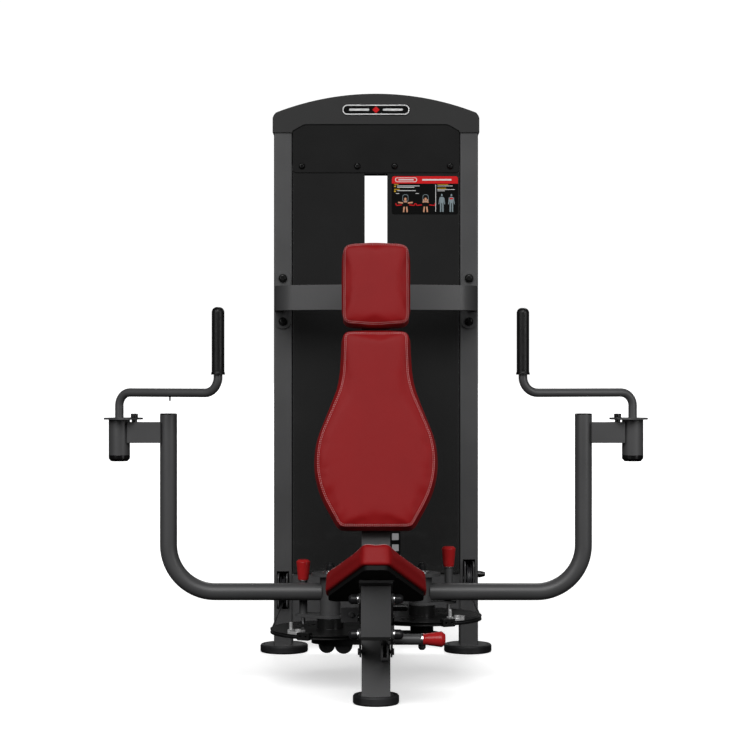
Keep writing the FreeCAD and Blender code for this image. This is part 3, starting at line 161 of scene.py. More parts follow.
class Shader:
    """One procedural material under construction."""

    def __init__(self, name, color, roughness, metallic=0.0, ior=1.45, coat=0.0, sheen=0.0,
                 alpha=1.0):
        self.material = bpy.data.materials.new(name)
        self.material.use_nodes = True
        self.tree = self.material.node_tree
        self.bsdf = self.tree.nodes["Principled BSDF"]
        for socket, value in (("Base Color", (*color, 1)), ("Roughness", roughness),
                              ("Metallic", metallic), ("IOR", ior), ("Coat Weight", coat),
                              ("Sheen Weight", sheen), ("Alpha", alpha)):
            self.set(socket, value)
        self.space = self.tree.nodes.new("ShaderNodeTexCoord").outputs["Object"]

    def add(self, kind, inputs=None, **settings):
        return add_node(self.tree, kind, inputs, **settings)

    def stretched(self, stretch):
        place = self.add("ShaderNodeMapping", {"Vector": self.space, "Scale": stretch})
        return place.outputs[0]

    def noise(self, scale, detail=2.0, rough=0.5, stretch=(1, 1, 1)):
        made = self.add("ShaderNodeTexNoise", {"Vector": self.stretched(stretch), "Scale": scale,
                                               "Detail": detail, "Roughness": rough})
        return made.outputs["Fac"]

    def cells(self, scale, feature="F1", stretch=(1, 1, 1)):
        made = self.add("ShaderNodeTexVoronoi",
                        {"Vector": self.stretched(stretch), "Scale": scale}, feature=feature)
        return made.outputs["Distance"]

    def math(self, operation, first, second):
        return self.add("ShaderNodeMath", {0: first, 1: second}, operation=operation).outputs[0]

    def remap(self, value, low, high, new_low, new_high):
        made = self.add("ShaderNodeMapRange", {"Value": value, "From Min": low, "From Max": high,
                                               "To Min": new_low, "To Max": new_high})
        return made.outputs[0]

    def blend(self, share, first, second):
        """Mix of two colours; inputs 6 and 7 and output 2 are the node's colour sockets."""
        first, second = (value if isinstance(value, bpy.types.NodeSocket) else (*value, 1)
                         for value in (first, second))
        made = self.add("ShaderNodeMix", {"Factor": share, 6: first, 7: second},
                        data_type="RGBA")
        return made.outputs[2]

    def blend_value(self, share, first, second):
        made = self.add("ShaderNodeMix", {"Factor": share, 2: first, 3: second},
                        data_type="FLOAT")
        return made.outputs[0]

    def axis(self, name):
        return self.add("ShaderNodeSeparateXYZ", {"Vector": self.space}).outputs[name]

    def round_edges(self, radius):
        """Normal of edges rounded to the radius, and how close a point is to such an edge."""
        rounded = self.add("ShaderNodeBevel", {"Radius": radius}, samples=6).outputs[0]
        true = self.add("ShaderNodeNewGeometry").outputs["True Normal"]
        dot = self.add("ShaderNodeVectorMath", {0: rounded, 1: true}, operation="DOT_PRODUCT")
        return rounded, self.remap(dot.outputs["Value"], 0.98, 0.8, 0.0, 1.0)

    def relief(self, steps, normal=None):
        """Chains bumps of (height, strength, distance)."""
        for height, strength, distance in steps:
            inputs = {"Height": height, "Strength": strength, "Distance": distance}
            if normal is not None:
                inputs["Normal"] = normal
            normal = self.add("ShaderNodeBump", inputs).outputs[0]
        self.set("Normal", normal)

    def set(self, name, value):
        feed_socket(self.tree, self.bsdf.inputs[name], value)


def scaled(color, factor):
    return tuple(min(1.0, c * factor) for c in color)


def powder_coat(name, color, roughness=0.42, ior=1.40, shade_below=None):
    """Satin powder coat: orange-peel grain, cloudy colour and a painted highlight along its edges.

    Below the given height the colour is painted near black: painted shade at the lower end of the
    tube, where the open bottom of the seat box shows dark.
    """
    grain = 0.10
    s = Shader(name, color, roughness, ior=ior)
    normal, edge_highlight_mask = s.round_edges(0.0012)
    cloud = s.noise(7, 3)
    speck = s.noise(900, 1)
    tone = s.blend(cloud, scaled(color, 0.86), scaled(color, 1.14))
    # Painted highlight: the colour lightens towards the rounded edges.
    tone = s.blend(s.math("MULTIPLY", edge_highlight_mask, 0.35), tone, scaled(color, 2.2))
    # Painted shade: near black below the given height, for the dark open bottom of the seat box.
    if shade_below is not None:
        tone = s.blend(s.math("LESS_THAN", s.axis("Z"), shade_below), tone, (0.003, 0.003, 0.003))
    s.set("Base Color", tone)
    s.set("Roughness", s.remap(s.math("ADD", cloud, speck), 0.6, 1.4, roughness - 0.06,
                               roughness + 0.08))
    s.relief([(speck, grain, 0.0004), (s.noise(260, 2), grain, 0.0006)], normal)
    return s.material


def moulded(name, color, roughness=0.5, grain=0.2, scale=700, ior=1.45):
    """Moulded rubber or plastic with a fine pitted skin, dusty patches and a painted highlight along
    its edges.
    """
    s = Shader(name, color, roughness, ior=ior)
    normal, edge_highlight_mask = s.round_edges(0.0008)
    dust = s.noise(35, 4, 0.6)
    tone = s.blend(s.remap(dust, 0.45, 0.75, 0.0, 0.5), color, scaled(color, 1.7))
    # Painted highlight: the colour lightens towards the rounded edges.
    s.set("Base Color", s.blend(s.math("MULTIPLY", edge_highlight_mask, 0.3), tone, scaled(color, 2.4)))
    s.set("Roughness", s.remap(dust, 0.3, 0.7, roughness - 0.08, roughness + 0.1))
    s.relief([(s.cells(scale), grain, 0.0004), (s.noise(scale * 2, 1), grain * 0.6, 0.0003)],
             normal)
    return s.material


def plated(name, color, roughness=0.28, brushed=(1, 1, 60)):
    """Zinc or chrome plate with fine turning marks and dull patches."""
    s = Shader(name, color, roughness, metallic=1.0)
    normal, _ = s.round_edges(0.0006)
    marks = s.noise(160, 2, 0.6, brushed)
    patch = s.noise(60, 3)
    s.set("Base Color", s.blend(patch, scaled(color, 0.82), scaled(color, 1.1)))
    s.set("Roughness", s.remap(s.math("ADD", marks, patch), 0.7, 1.3, roughness - 0.06,
                               roughness + 0.1))
    s.relief([(marks, 0.12, 0.0003)], normal)
    return s.material


def zoned(name, axis, default, zones):
    """A piece of several finishes in bands along one axis: (low, high, (color, metal, rough))."""
    s = Shader(name, default[0], default[2], ior=1.28)
    normal, _ = s.round_edges(0.0008)
    along = s.axis(axis)
    tone, metal, rough = default
    for low, high, (zone_color, zone_metal, zone_rough) in zones:
        inside = s.math("MULTIPLY", s.math("GREATER_THAN", along, low),
                        s.math("LESS_THAN", along, high))
        tone = s.blend(inside, tone, zone_color)
        metal = s.blend_value(inside, metal, zone_metal)
        rough = s.blend_value(inside, rough, zone_rough)
    cloud = s.noise(40, 3)
    dark = s.blend(0.16, tone, (0, 0, 0))
    s.set("Base Color", s.blend(cloud, dark, tone))
    s.set("Metallic", metal)
    s.set("Roughness", s.math("ADD", rough, s.remap(cloud, 0.3, 0.7, -0.04, 0.06)))
    s.relief([(s.noise(500, 2), 0.08, 0.0003)], normal)
    return s.material


def vinyl(name, color):
    """Soft upholstery vinyl: pebbled grain, faint mottling and a broad sheen."""
    s = Shader(name, color, 0.46, ior=1.23, sheen=0.01)
    s.bsdf.inputs["Sheen Roughness"].default_value = 0.45
    s.bsdf.inputs["Sheen Tint"].default_value = (1.0, 0.55, 0.55, 1)
    pebble = s.cells(620)
    crease = s.cells(330, "SMOOTH_F1", (1, 1, 1.2))
    cloud = s.noise(9, 3)
    tone = s.blend(cloud, scaled(color, 0.9), scaled(color, 1.1))
    pit = s.remap(pebble, 0.0, 0.6, 0.0, 0.22)
    s.set("Base Color", s.blend(pit, tone, scaled(color, 0.72)))
    s.set("Roughness", s.remap(pebble, 0.0, 0.7, 0.42, 0.56))
    s.relief([(pebble, 0.22, 0.0005), (crease, 0.16, 0.0006), (s.noise(26, 3), 0.12, 0.003)])
    return s.material


def smoked_sheet(name):
    """Glossy dark acrylic that lets a little of the stack show through."""
    s = Shader(name, (0.006, 0.006, 0.007), 0.09, ior=1.33, alpha=0.93)
    normal, _ = s.round_edges(0.001)
    smudge = s.noise(5, 4, 0.6)
    s.set("Base Color", s.blend(smudge, (0.016, 0.016, 0.016), (0.021, 0.021, 0.021)))
    s.set("Roughness", s.remap(smudge, 0.35, 0.7, 0.05, 0.16))
    s.relief([(s.noise(3, 1), 0.02, 0.01)], normal)
    return s.material


def plate_iron(name):
    """Painted weight plates: blasted skin and a painted highlight along the edges."""
    color = (0.012, 0.012, 0.013)
    s = Shader(name, color, 0.5, ior=1.45)
    normal, edge_highlight_mask = s.round_edges(0.0015)
    cloud = s.noise(14, 4)
    tone = s.blend(cloud, scaled(color, 0.8), scaled(color, 1.4))
    # Painted highlight: the colour lightens towards the rounded edges.
    s.set("Base Color", s.blend(s.math("MULTIPLY", edge_highlight_mask, 0.5), tone, (0.09, 0.09, 0.095)))
    s.relief([(s.noise(480, 3), 0.25, 0.0006)], normal)
    return s.material


def board(name):
    """Black stained ply: long faint grain."""
    color = (0.004, 0.004, 0.004)
    s = Shader(name, color, 0.6, ior=1.2)
    grain = s.noise(60, 4, 0.6, (12, 1, 1))
    s.set("Base Color", s.blend(grain, scaled(color, 0.7), scaled(color, 1.8)))
    s.relief([(grain, 0.2, 0.0005)])
    return s.material


def cable_jacket(name):
    """Twisted steel rope under a dark clear jacket."""
    s = Shader(name, (0.012, 0.012, 0.012), 0.3, metallic=0.2, coat=0.3)
    twist = s.add("ShaderNodeTexWave", {"Vector": s.space, "Scale": 160.0, "Distortion": 0.4},
                  bands_direction="DIAGONAL").outputs["Fac"]
    s.set("Base Color", s.blend(twist, (0.006, 0.006, 0.006), (0.03, 0.03, 0.032)))
    s.relief([(twist, 0.3, 0.0005)])
    return s.material


def print_ink(name, color, roughness=0.35, ior=1.3):
    """Flat printing ink, a little uneven."""
    s = Shader(name, color, roughness, ior=ior)
    s.set("Base Color", s.blend(s.noise(120, 2), scaled(color, 0.9), color))
    s.relief([(s.noise(400, 1), 0.05, 0.0002)])
    return s.material


# Colours, and finishes as (colour, metallic, roughness).
GRAPHITE = (0.050, 0.050, 0.051)
COVER = (0.013, 0.013, 0.013)
CAM = (0.006, 0.006, 0.006)
RED = (0.215, 0.0050, 0.0060)
KNOB = ((0.34, 0.014, 0.015), 0.0, 0.2)
ZINC = ((0.62, 0.62, 0.63), 1.0, 0.3)
BLACK = ((0.012, 0.012, 0.013), 0.0, 0.32)

paint = powder_coat("frame_powder_coat", GRAPHITE)
cover_paint = powder_coat("cover_powder_coat", COVER, 0.5, 1.36)
header_paint = powder_coat("header_powder_coat", (0.006, 0.006, 0.006), 0.42, 1.22)
acrylic = smoked_sheet("smoked_acrylic")
leather = vinyl("red_vinyl", RED)
iron = plate_iron("plate_paint")
ply = board("stained_board")
rubber = moulded("black_rubber", (0.010, 0.010, 0.011), 0.5, 0.25)
grip_rubber = moulded("grip_rubber", (0.004, 0.004, 0.004), 0.4, 0.18, 900, 1.32)
plastic = moulded("black_plastic", (0.004, 0.004, 0.004), 0.22, 0.04)
nylon = moulded("pulley_nylon", (0.016, 0.016, 0.018), 0.4, 0.12)
stitching = moulded("seam_thread", (0.50, 0.27, 0.27), 0.6, 0.3, 1500)
chrome = plated("chrome_plate", (0.62, 0.62, 0.63), 0.16, (1, 1, 0.2))
rope = cable_jacket("cable_jacket")
black_print = print_ink("black_print", (0.003, 0.003, 0.003), 0.3, 1.2)

FINISH = {
    "top_cover": cover_paint, "header_plates": header_paint, "front_panel_left": acrylic,
    "front_panel_right": acrylic, "rear_panels": acrylic, "placard": black_print,
    "cover_badge": black_print, "guide_rods": chrome, "stack_bumpers": rubber,
    "weight_plates_resting": iron, "weight_plates_selected": iron, "head_plate": iron,
    "feet": rubber, "button_bolts": plastic, "pad_boards": ply, "seat_board": ply,
    "cable_runs": rope, "cable_drops": rope, "seat_rear_bolts": plastic,
}
for side in ("left", "right"):
    FINISH[f"low_pulley_{side}"] = nylon
    FINISH[f"top_pulley_{side}"] = nylon
    FINISH[f"cable_wrap_{side}"] = rope
    FINISH[f"grip_{side}"] = grip_rubber
    FINISH[f"arm_caps_{side}"] = plastic


def pin_finish(name, axis, knob_start):
    """Plated pin whose knob begins at a distance from its lower end along the axis."""
    low = getattr(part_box(name)[0], axis.lower())
    return zoned(f"{name}_finish", axis, ZINC, [(low + knob_start, low + PAST_THE_END, KNOB)])


def cam_finish(side, sign):
    """Glossy dark cam with a painted highlight along its edges and a plated cable anchor standing on
    its front edge.
    """
    s = Shader(f"cam_{side}_finish", CAM, 0.3, ior=1.33)
    normal, edge_highlight_mask = s.round_edges(0.0012)
    offset = s.add("ShaderNodeVectorMath", {0: s.space, 1: (sign * ANCHOR_X, ANCHOR_Y, 0)},
                   operation="SUBTRACT")
    flat_offset = s.add("ShaderNodeVectorMath", {0: offset.outputs[0], 1: (1, 1, 0)},
                        operation="MULTIPLY")
    distance = s.add("ShaderNodeVectorMath", {0: flat_offset.outputs[0]}, operation="LENGTH")
    anchor = s.math("MULTIPLY", s.math("LESS_THAN", distance.outputs["Value"], ANCHOR_REACH),
                    s.math("GREATER_THAN", s.axis("Z"), ANCHOR_LOW[side]))
    cloud = s.noise(9, 3)
    tone = s.blend(cloud, scaled(CAM, 0.8), scaled(CAM, 1.2))
    # Painted highlight: the colour lightens towards the rounded edges.
    tone = s.blend(s.math("MULTIPLY", edge_highlight_mask, 0.4), tone, scaled(CAM, 3.0))
    s.set("Base Color", s.blend(anchor, tone, (0.55, 0.55, 0.55)))
    s.set("Metallic", s.math("MULTIPLY", anchor, 0.55))
    s.set("Roughness", s.remap(cloud, 0.3, 0.7, 0.24, 0.36))
    s.relief([(s.noise(260, 2), 0.08, 0.0006)], normal)
    return s.material


for side, sign in (("left", -1), ("right", 1)):
    FINISH[f"pop_pin_{side}"] = pin_finish(f"pop_pin_{side}", "Z", POP_KNOB_START)
    FINISH[f"cam_{side}"] = cam_finish(side, sign)
FINISH["seat_pin"] = pin_finish("seat_pin", "X", SEAT_KNOB_START)
FINISH["selector_pin"] = zoned(
    "selector_pin_finish", "Y", ZINC,
    [(-1.0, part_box("selector_pin")[1].y - SELECTOR_KNOB_LENGTH, KNOB)])
cap_low, cap_high = BOLT_CAP
FINISH["seat_front_bolts"] = zoned("seat_bolt_finish", "X", BLACK,
                                   [(cap_low, cap_high, ZINC), (-cap_high, -cap_low, ZINC)])
FINISH["seat_bracket"] = powder_coat("seat_box_finish", GRAPHITE,
                                     shade_below=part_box("seat_bracket")[0].z + SEAT_SHADE_BAND)
FINISH["hub_shafts"] = zoned("hub_shaft_finish", "Z", BLACK, [(*HUB_NUT, ZINC)])

for name, piece in nodes.items():
    piece.data.materials.clear()
    piece.data.materials.append(FINISH.get(name, paint))


# ---------------------------------------------------------------- mesh helpers


def linked(name, data):
    """A new object in the scene."""
    made = bpy.data.objects.new(name, data)
    scene.collection.objects.link(made)
    return made


def new_piece(name, data, material, body):
    """A visible piece that rides on a body."""
    piece = linked(name, data)
    if material is not None:
        piece.data.materials.append(material)
    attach(piece, body)
    return piece


def evaluated_copy(piece):
    """The piece's mesh with its modifiers applied."""
    graph = bpy.context.evaluated_depsgraph_get()
    return bpy.data.meshes.new_from_object(piece.evaluated_get(graph), depsgraph=graph)


def change_mesh(piece, mesh):
    """Gives the piece another mesh, without its modifiers, and drops the old one."""
    piece.modifiers.clear()
    old = piece.data
    piece.data = mesh
    bpy.data.meshes.remove(old)


def smooth_round(work, points):
    """One round of smoothing."""
    bmesh.ops.smooth_vert(work, verts=points, factor=0.5, use_axis_x=True, use_axis_y=True,
                          use_axis_z=True)


def points_above(work, height):
    return [v for v in work.verts if v.co.z > height]


def finished_mesh(work, name):
    """The work as a mesh; the work itself is freed."""
    mesh = bpy.data.meshes.new(name)
    work.to_mesh(mesh)
    work.free()
    return mesh


# ---------------------------------------------------------------- cushions


class Pad:
    """A cushion's own plane: across, up the slope, and out of its face."""

    def __init__(self, node, up, out):
        self.node = node
        low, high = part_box(node)
        middle = (low + high) / 2
        rows = Matrix((Vector((1, 0, 0)), up.normalized(), out.normalized()))
        self.to_local = rows.to_4x4() @ Matrix.Translation(-middle)
        self.to_world = self.to_local.inverted()
        points = [self.to_local @ v.co for v in nodes[node].data.vertices]
        self.back = min(p.z for p in points)
        self.front = max(p.z for p in points)
        self.rim = self.face_outline(points)

    def face_outline(self, points):
        """The closed outline of the cushion's face, evenly spaced, as 2-D points."""
        mesh = nodes[self.node].data
        uses = {}
        for polygon in mesh.polygons:
            corners = [points[i] for i in polygon.vertices]
            if min(c.z for c in corners) < self.front - FACE_FLATNESS:
                continue
            keys = [(round(c.x, 5), round(c.y, 5)) for c in corners]
            for a, b in zip(keys, keys[1:] + keys[:1]):
                edge = frozenset((a, b))
                uses[edge] = uses.get(edge, 0) + 1
        links = {}
        for edge, count in uses.items():
            if count == 1 and len(edge) == 2:  # an edge of one face only is on the outline
                a, b = edge
                links.setdefault(a, []).append(b)
                links.setdefault(b, []).append(a)
        start = min(links)
        loop, here, before = [start], links[start][0], start
        while here != start:
            loop.append(here)
            ahead = [p for p in links[here] if p != before]
            before, here = here, ahead[0]
        return even_loop([Vector(p) for p in loop], OUTLINE_STEP)


def even_loop(points, spacing):
    """A closed line resampled at even spacing, running anticlockwise."""
    area = sum(a.x * b.y - b.x * a.y for a, b in zip(points, points[1:] + points[:1]))
    if area < 0:
        points = points[::-1]
    closed = points + points[:1]
    total = sum((b - a).length for a, b in zip(closed, closed[1:]))
    count = max(8, round(total / spacing))
    step, made, walked, target = total / count, [], 0.0, 0.0
    for a, b in zip(closed, closed[1:]):
        length = (b - a).length
        while target <= walked + length and len(made) < count:
            made.append(a.lerp(b, (target - walked) / length) if length else a.copy())
            target += step
        walked += length
    return made


def inset_loop(points, depth, spacing):
    """The loop moved inwards, with crowded corners opened again."""
    count = len(points)
    moved = []
    for i, point in enumerate(points):
        along = (points[(i + 3) % count] - points[i - 3]).normalized()
        moved.append(point + Vector((-along.y, along.x)) * depth)
    for _ in range(4):
        moved = [(moved[i - 1] + moved[i] * 2 + moved[(i + 1) % count]) / 4
                 for i in range(count)]
    return even_loop(moved, spacing)


def stuffed(pad, name, swell):
    """The cushion's skin: its CAD solid remeshed, rounded over and blown up as cloth."""
    mesh = nodes[pad.node].data.copy()
    mesh.materials.clear()
    mesh.transform(pad.to_local)
    blank = linked(f"{name}_blank", mesh)
    remesh = blank.modifiers.new("remesh", "REMESH")
    remesh.mode = "VOXEL"
    remesh.voxel_size = VOXEL
    body = evaluated_copy(blank)
    bpy.data.objects.remove(blank)
    work = bmesh.new()
    work.from_mesh(body)
    for _ in range(ROUND_OVER):
        smooth_round(work, points_above(work, pad.back + ROUND_ABOVE))
    work.to_mesh(body)
    work.free()
    start = [v.co.copy() for v in body.vertices]
    piece = linked(name, body)
    blow_up(piece, pad)
    limit(piece.data, start, swell)
    relax(piece.data, pad)
    return piece


def relax(mesh, pad):
    """Evens out small puckers in front of the board."""
    work = bmesh.new()
    work.from_mesh(mesh)
    front = points_above(work, pad.back + RELAX_ABOVE)
    for _ in range(RELAX_ROUNDS):
        smooth_round(work, front)
    work.to_mesh(mesh)
    work.free()


def blow_up(piece, pad):
    """Air pressure on the skin while its back edge stays held on the board."""
    held = piece.vertex_groups.new(name="held")
    for vertex in piece.data.vertices:
        height = vertex.co.z - pad.back
        weight = 1.0 if height < HELD_BELOW else max(0.0, 1 - (height - HELD_BELOW) / HOLD_FADE)
        if weight > 0:
            held.add([vertex.index], weight, "REPLACE")
    cloth = piece.modifiers.new("cloth", "CLOTH")
    cloth.settings.use_pressure = True
    cloth.settings.uniform_pressure_force = 4.0
    cloth.settings.tension_stiffness = 25
    cloth.settings.compression_stiffness = 25
    cloth.settings.shear_stiffness = 8
    cloth.settings.bending_stiffness = 3
    cloth.settings.quality = 6
    cloth.settings.vertex_group_mass = "held"
    cloth.settings.effector_weights.gravity = 0
    cloth.collision_settings.use_collision = False
    for step in range(1, CLOTH_FRAMES + 1):
        scene.frame_set(step)
    change_mesh(piece, evaluated_copy(piece))
    scene.frame_set(1)


def limit(mesh, start, swell):
    """Keeps each point within the swell of where it began, easing off towards it."""
    for vertex, origin in zip(mesh.vertices, start):
        move = vertex.co - origin
        length = move.length
        if length > 1e-6:
            vertex.co = origin + move / length * swell * math.tanh(length / swell)


def refit(mesh, pad):
    """Brings the rounded skin back out to the width and height of the cushion's outline."""
    for axis in (0, 1):
        low = min(v.co[axis] for v in mesh.vertices)
        high = max(v.co[axis] for v in mesh.vertices)
        want_low = min(p[axis] for p in pad.rim)
        want_high = max(p[axis] for p in pad.rim)
        grow = (want_high - want_low) / (high - low)
        for vertex in mesh.vertices:
            vertex.co[axis] = want_low + (vertex.co[axis] - low) * grow


def cell_of(point):
    return round(point.x / SEARCH_CELL), round(point.y / SEARCH_CELL)


def sew(piece, pad, depth):
    """Presses a seam channel into the skin along the rim, after one subdivision."""
    divide = piece.modifiers.new("divide", "SUBSURF")
    divide.levels = 1
    divide.render_levels = 1
    change_mesh(piece, evaluated_copy(piece))
    cells = {}
    for point in inset_loop(pad.rim, depth, SEAM_STEP):
        cells.setdefault(cell_of(point), []).append(point)
    for vertex in piece.data.vertices:
        if vertex.co.z < pad.front - FACE_DEPTH:
            continue
        column, row = cell_of(vertex.co)
        near = [p for dx in (-1, 0, 1) for dy in (-1, 0, 1)
                for p in cells.get((column + dx, row + dy), ())]
        if not near:
            continue
        flat = Vector((vertex.co.x, vertex.co.y))
        distance = min((flat - p).length for p in near)
        vertex.co.z -= SEAM_GROOVE * math.exp(-(distance / SEAM_WIDTH) ** 2)


def thread(piece, pad, name, depth):
    """Two rows of separate stitches lying on the skin, one on each side of the seam channel."""
    tree = BVHTree.FromPolygons([v.co for v in piece.data.vertices],
                                [p.vertices for p in piece.data.polygons])
    work = bmesh.new()
    for row in (depth - THREAD_OFFSET, depth + THREAD_OFFSET):
        line = inset_loop(pad.rim, row, STITCH_PITCH)
        count = len(line)
        for i, point in enumerate(line):
            along = line[(i + 1) % count] - line[i - 1]
            spot, normal, _, _ = tree.ray_cast(Vector((point.x, point.y, pad.front + 0.1)),
                                               Vector((0, 0, -1)))
            if spot is None:
                continue
            stitch(work, spot, Vector((along.x, along.y, 0)), normal)
    work.transform(pad.to_world)
    mesh = finished_mesh(work, name)
    mesh.shade_smooth()
    new_piece(name, mesh, stitching, pad_body(pad))


def stitch(work, spot, along, normal):
    """One stitch: a short thread with its ends sunk into the skin."""
    along = (along - normal * along.dot(normal)).normalized()
    side = normal.cross(along)
    rings = []
    for share, width, lift in STITCH_RINGS:
        radius = STITCH_RADIUS * width
        centre = spot + along * STITCH_HALF * share + normal * lift
        rings.append([
            work.verts.new(centre + (side * math.cos(a) + normal * math.sin(a)) * radius)
            for a in (k * math.tau / STITCH_SIDES for k in range(STITCH_SIDES))
        ])
    for first, second in zip(rings, rings[1:]):
        for k in range(STITCH_SIDES):
            after = (k + 1) % STITCH_SIDES
            work.faces.new((first[k], first[after], second[after], second[k]))
    work.faces.new(rings[0][::-1])
    work.faces.new(rings[-1])


def pad_body(pad):
    return "seat" if pad.node == "seat_pad" else "frame"


def make_cushion(node, up, out, name, swell, seam_in):
    """A sewn cushion in place of its CAD solid; the seam lies that far in from the outline."""
    pad = Pad(node, up, out)
    piece = stuffed(pad, name, swell)
    refit(piece.data, pad)
    sew(piece, pad, seam_in)
    thread(piece, pad, f"{name}_stitches", seam_in)
    piece.data.transform(pad.to_world)
    piece.data.materials.clear()
    piece.data.materials.append(leather)
    piece.data.shade_smooth()
    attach(piece, pad_body(pad))
    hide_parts(node)


slope_up = Vector((0, math.sin(COLUMN_LEAN), math.cos(COLUMN_LEAN)))
slope_out = Vector((0, -math.cos(COLUMN_LEAN), math.sin(COLUMN_LEAN)))
make_cushion("backrest_pad", slope_up, slope_out, "backrest_cushion",
             swell=0.006, seam_in=0.0125)
make_cushion("headrest_pad", slope_up, slope_out, "headrest_cushion",
             swell=0.006, seam_in=0.0085)
seat_up = Vector((0, math.cos(SEAT_TILT), -math.sin(SEAT_TILT)))
seat_out = Vector((0, math.sin(SEAT_TILT), math.cos(SEAT_TILT)))
make_cushion("seat_pad", seat_up, seat_out, "seat_cushion", swell=0.005, seam_in=0.0125)


# ---------------------------------------------------------------- flat prints


def flat(name, shapes, front, thickness, material, slot):
    """Flat printed pieces in the XZ plane, a hair proud of the face at Y = front."""
    work = bmesh.new()
    for corners in shapes:
        far = [work.verts.new((x, front, z)) for x, z in corners]
        near = [work.verts.new((x, front - thickness, z)) for x, z in corners]
        count = len(corners)
        work.faces.new(far)
        work.faces.new(near[::-1])
        for i in range(count):
            work.faces.new((far[i], near[i], near[(i + 1) % count], far[(i + 1) % count]))
    bmesh.ops.recalc_face_normals(work, faces=work.faces)
    new_piece(name, finished_mesh(work, name), material, "frame")


def bar(x_low, x_high, z_low, z_high):
    return [(x_low, z_low), (x_high, z_low), (x_high, z_high), (x_low, z_high)]


def round_bar(x_low, x_high, z_low, z_high, radius, steps=8):
    """A bar with rounded corners; each spot is a corner's (x, z, start angle)."""
    spots = [(x_high - radius, z_low + radius, -90), (x_high - radius, z_high - radius, 0),
             (x_low + radius, z_high - radius, 90), (x_low + radius, z_low + radius, 180)]
    points = []
    for x, z, first in spots:
        for k in range(steps + 1):
            angle = math.radians(first + 90 * k / steps)
            points.append((x + radius * math.cos(angle), z + radius * math.sin(angle)))
    return points


def blob(x, z, width, height):
    """An oval with its half width and half height."""
    steps = 20
    return [(x + width * math.cos(a), z + height * math.sin(a))
            for a in (k * math.tau / steps for k in range(steps))]


def limb(x0, z0, x1, z1, width):
    """A straight limb with square ends."""
    along = Vector((x1 - x0, z1 - z0)).normalized()
    side = Vector((-along.y, along.x)) * width / 2
    return [(x0 - side.x, z0 - side.y), (x1 - side.x, z1 - side.y), (x1 + side.x, z1 + side.y),
            (x0 + side.x, z0 + side.y)]


def limb_pair(x, z, start, end, width):
    """The same limb on both sides of a figure; start and end are (out, down) from (x, z)."""
    return [limb(x + sign * start[0], z - start[1], x + sign * end[0], z - end[1], width)
            for sign in (-1, 1)]


def frame_strip(outer, inner):
    """The four-sided pieces between two outlines of equal point count."""
    count = len(outer)
    return [[outer[i], outer[(i + 1) % count], inner[(i + 1) % count], inner[i]]
            for i in range(count)]


white_ink = print_ink("white_print", (0.62, 0.62, 0.62))
red_ink = print_ink("red_print", (0.55, 0.006, 0.008))
yellow_ink = print_ink("yellow_print", (0.55, 0.33, 0.02))
skin_ink = print_ink("warm_print", (0.55, 0.27, 0.16))
grey_ink = print_ink("grey_print", (0.2, 0.25, 0.27))
tab_ink = print_ink("tab_print", (0.33, 0.33, 0.34))
silver_ink = plated("silver_print", (0.7, 0.7, 0.7), 0.35)
PRINT = "placard_print"


def make_placard():
    """Exercise placard without lettering: header, divider, two poses and two body figures.

    Places are shares of the placard's width and height, from its lower left corner.
    """
    low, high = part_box("placard")
    width, height = high.x - low.x, high.z - low.z
    header, marks, bodies, accents = (low.y - rise for rise in INK_LAYERS)

    def across(share):
        return low.x + share * width

    def up(share):
        return low.z + share * height

    def box_at(u0, u1, v0, v1):
        return bar(across(u0), across(u1), up(v0), up(v1))

    def round_at(u0, u1, v0, v1, radius):
        return round_bar(across(u0), across(u1), up(v0), up(v1), radius)

    cut = up(0.805)
    head = [(x, max(z, cut)) for x, z in round_bar(low.x, high.x, up(0.5), high.z, 0.008)]
    flat("placard_header", [head], header, INK, red_ink, PRINT)
    whites = frame_strip(round_at(0.05, 0.38, 0.845, 0.965, 0.006),
                         round_at(0.06, 0.37, 0.86, 0.95, 0.005))
    whites.append(box_at(0.1, 0.33, 0.89, 0.92))
    whites.append(box_at(0.46, 0.90, 0.885, 0.925))
    whites.append(box_at(0.659, 0.667, 0.06, 0.78))
    for v, end in ((0.735, 0.42), (0.70, 0.34), (0.61, 0.36)):
        whites.append(box_at(0.08, end, v, v + 0.016))
    for v, end in ((0.735, 0.92), (0.64, 0.95), (0.605, 0.80)):
        whites.append(box_at(0.69, end, v, v + 0.014))
    for u in (0.06, 0.36):
        whites.append(box_at(u, u + 0.05, 0.535, 0.55))
    flat("placard_white_marks", whites, marks, INK, white_ink, PRINT)
    yellows = [box_at(0.035, 0.1, 0.775, 0.79), box_at(0.035, 0.06, 0.715, 0.75),
               box_at(0.035, 0.12, 0.645, 0.66), box_at(0.035, 0.06, 0.585, 0.62),
               box_at(0.69, 0.85, 0.77, 0.784), box_at(0.69, 0.82, 0.675, 0.689)]
    flat("placard_yellow_marks", yellows, marks, INK, yellow_ink, PRINT)
    skins, reds, greys = [], [], []
    for u, open_arms in ((0.205, True), (0.51, False)):
        figure(skins, reds, greys, across(u), up(0.42), open_arms)
    for u, marked in ((0.755, False), (0.90, True)):
        body_chart(greys, reds, across(u), up(0.5), marked)
    flat("placard_figures", skins, marks, INK, skin_ink, PRINT)
    flat("placard_red_marks", reds, accents, INK, red_ink, PRINT)
    flat("placard_grey_marks", greys, bodies, INK, grey_ink, PRINT)


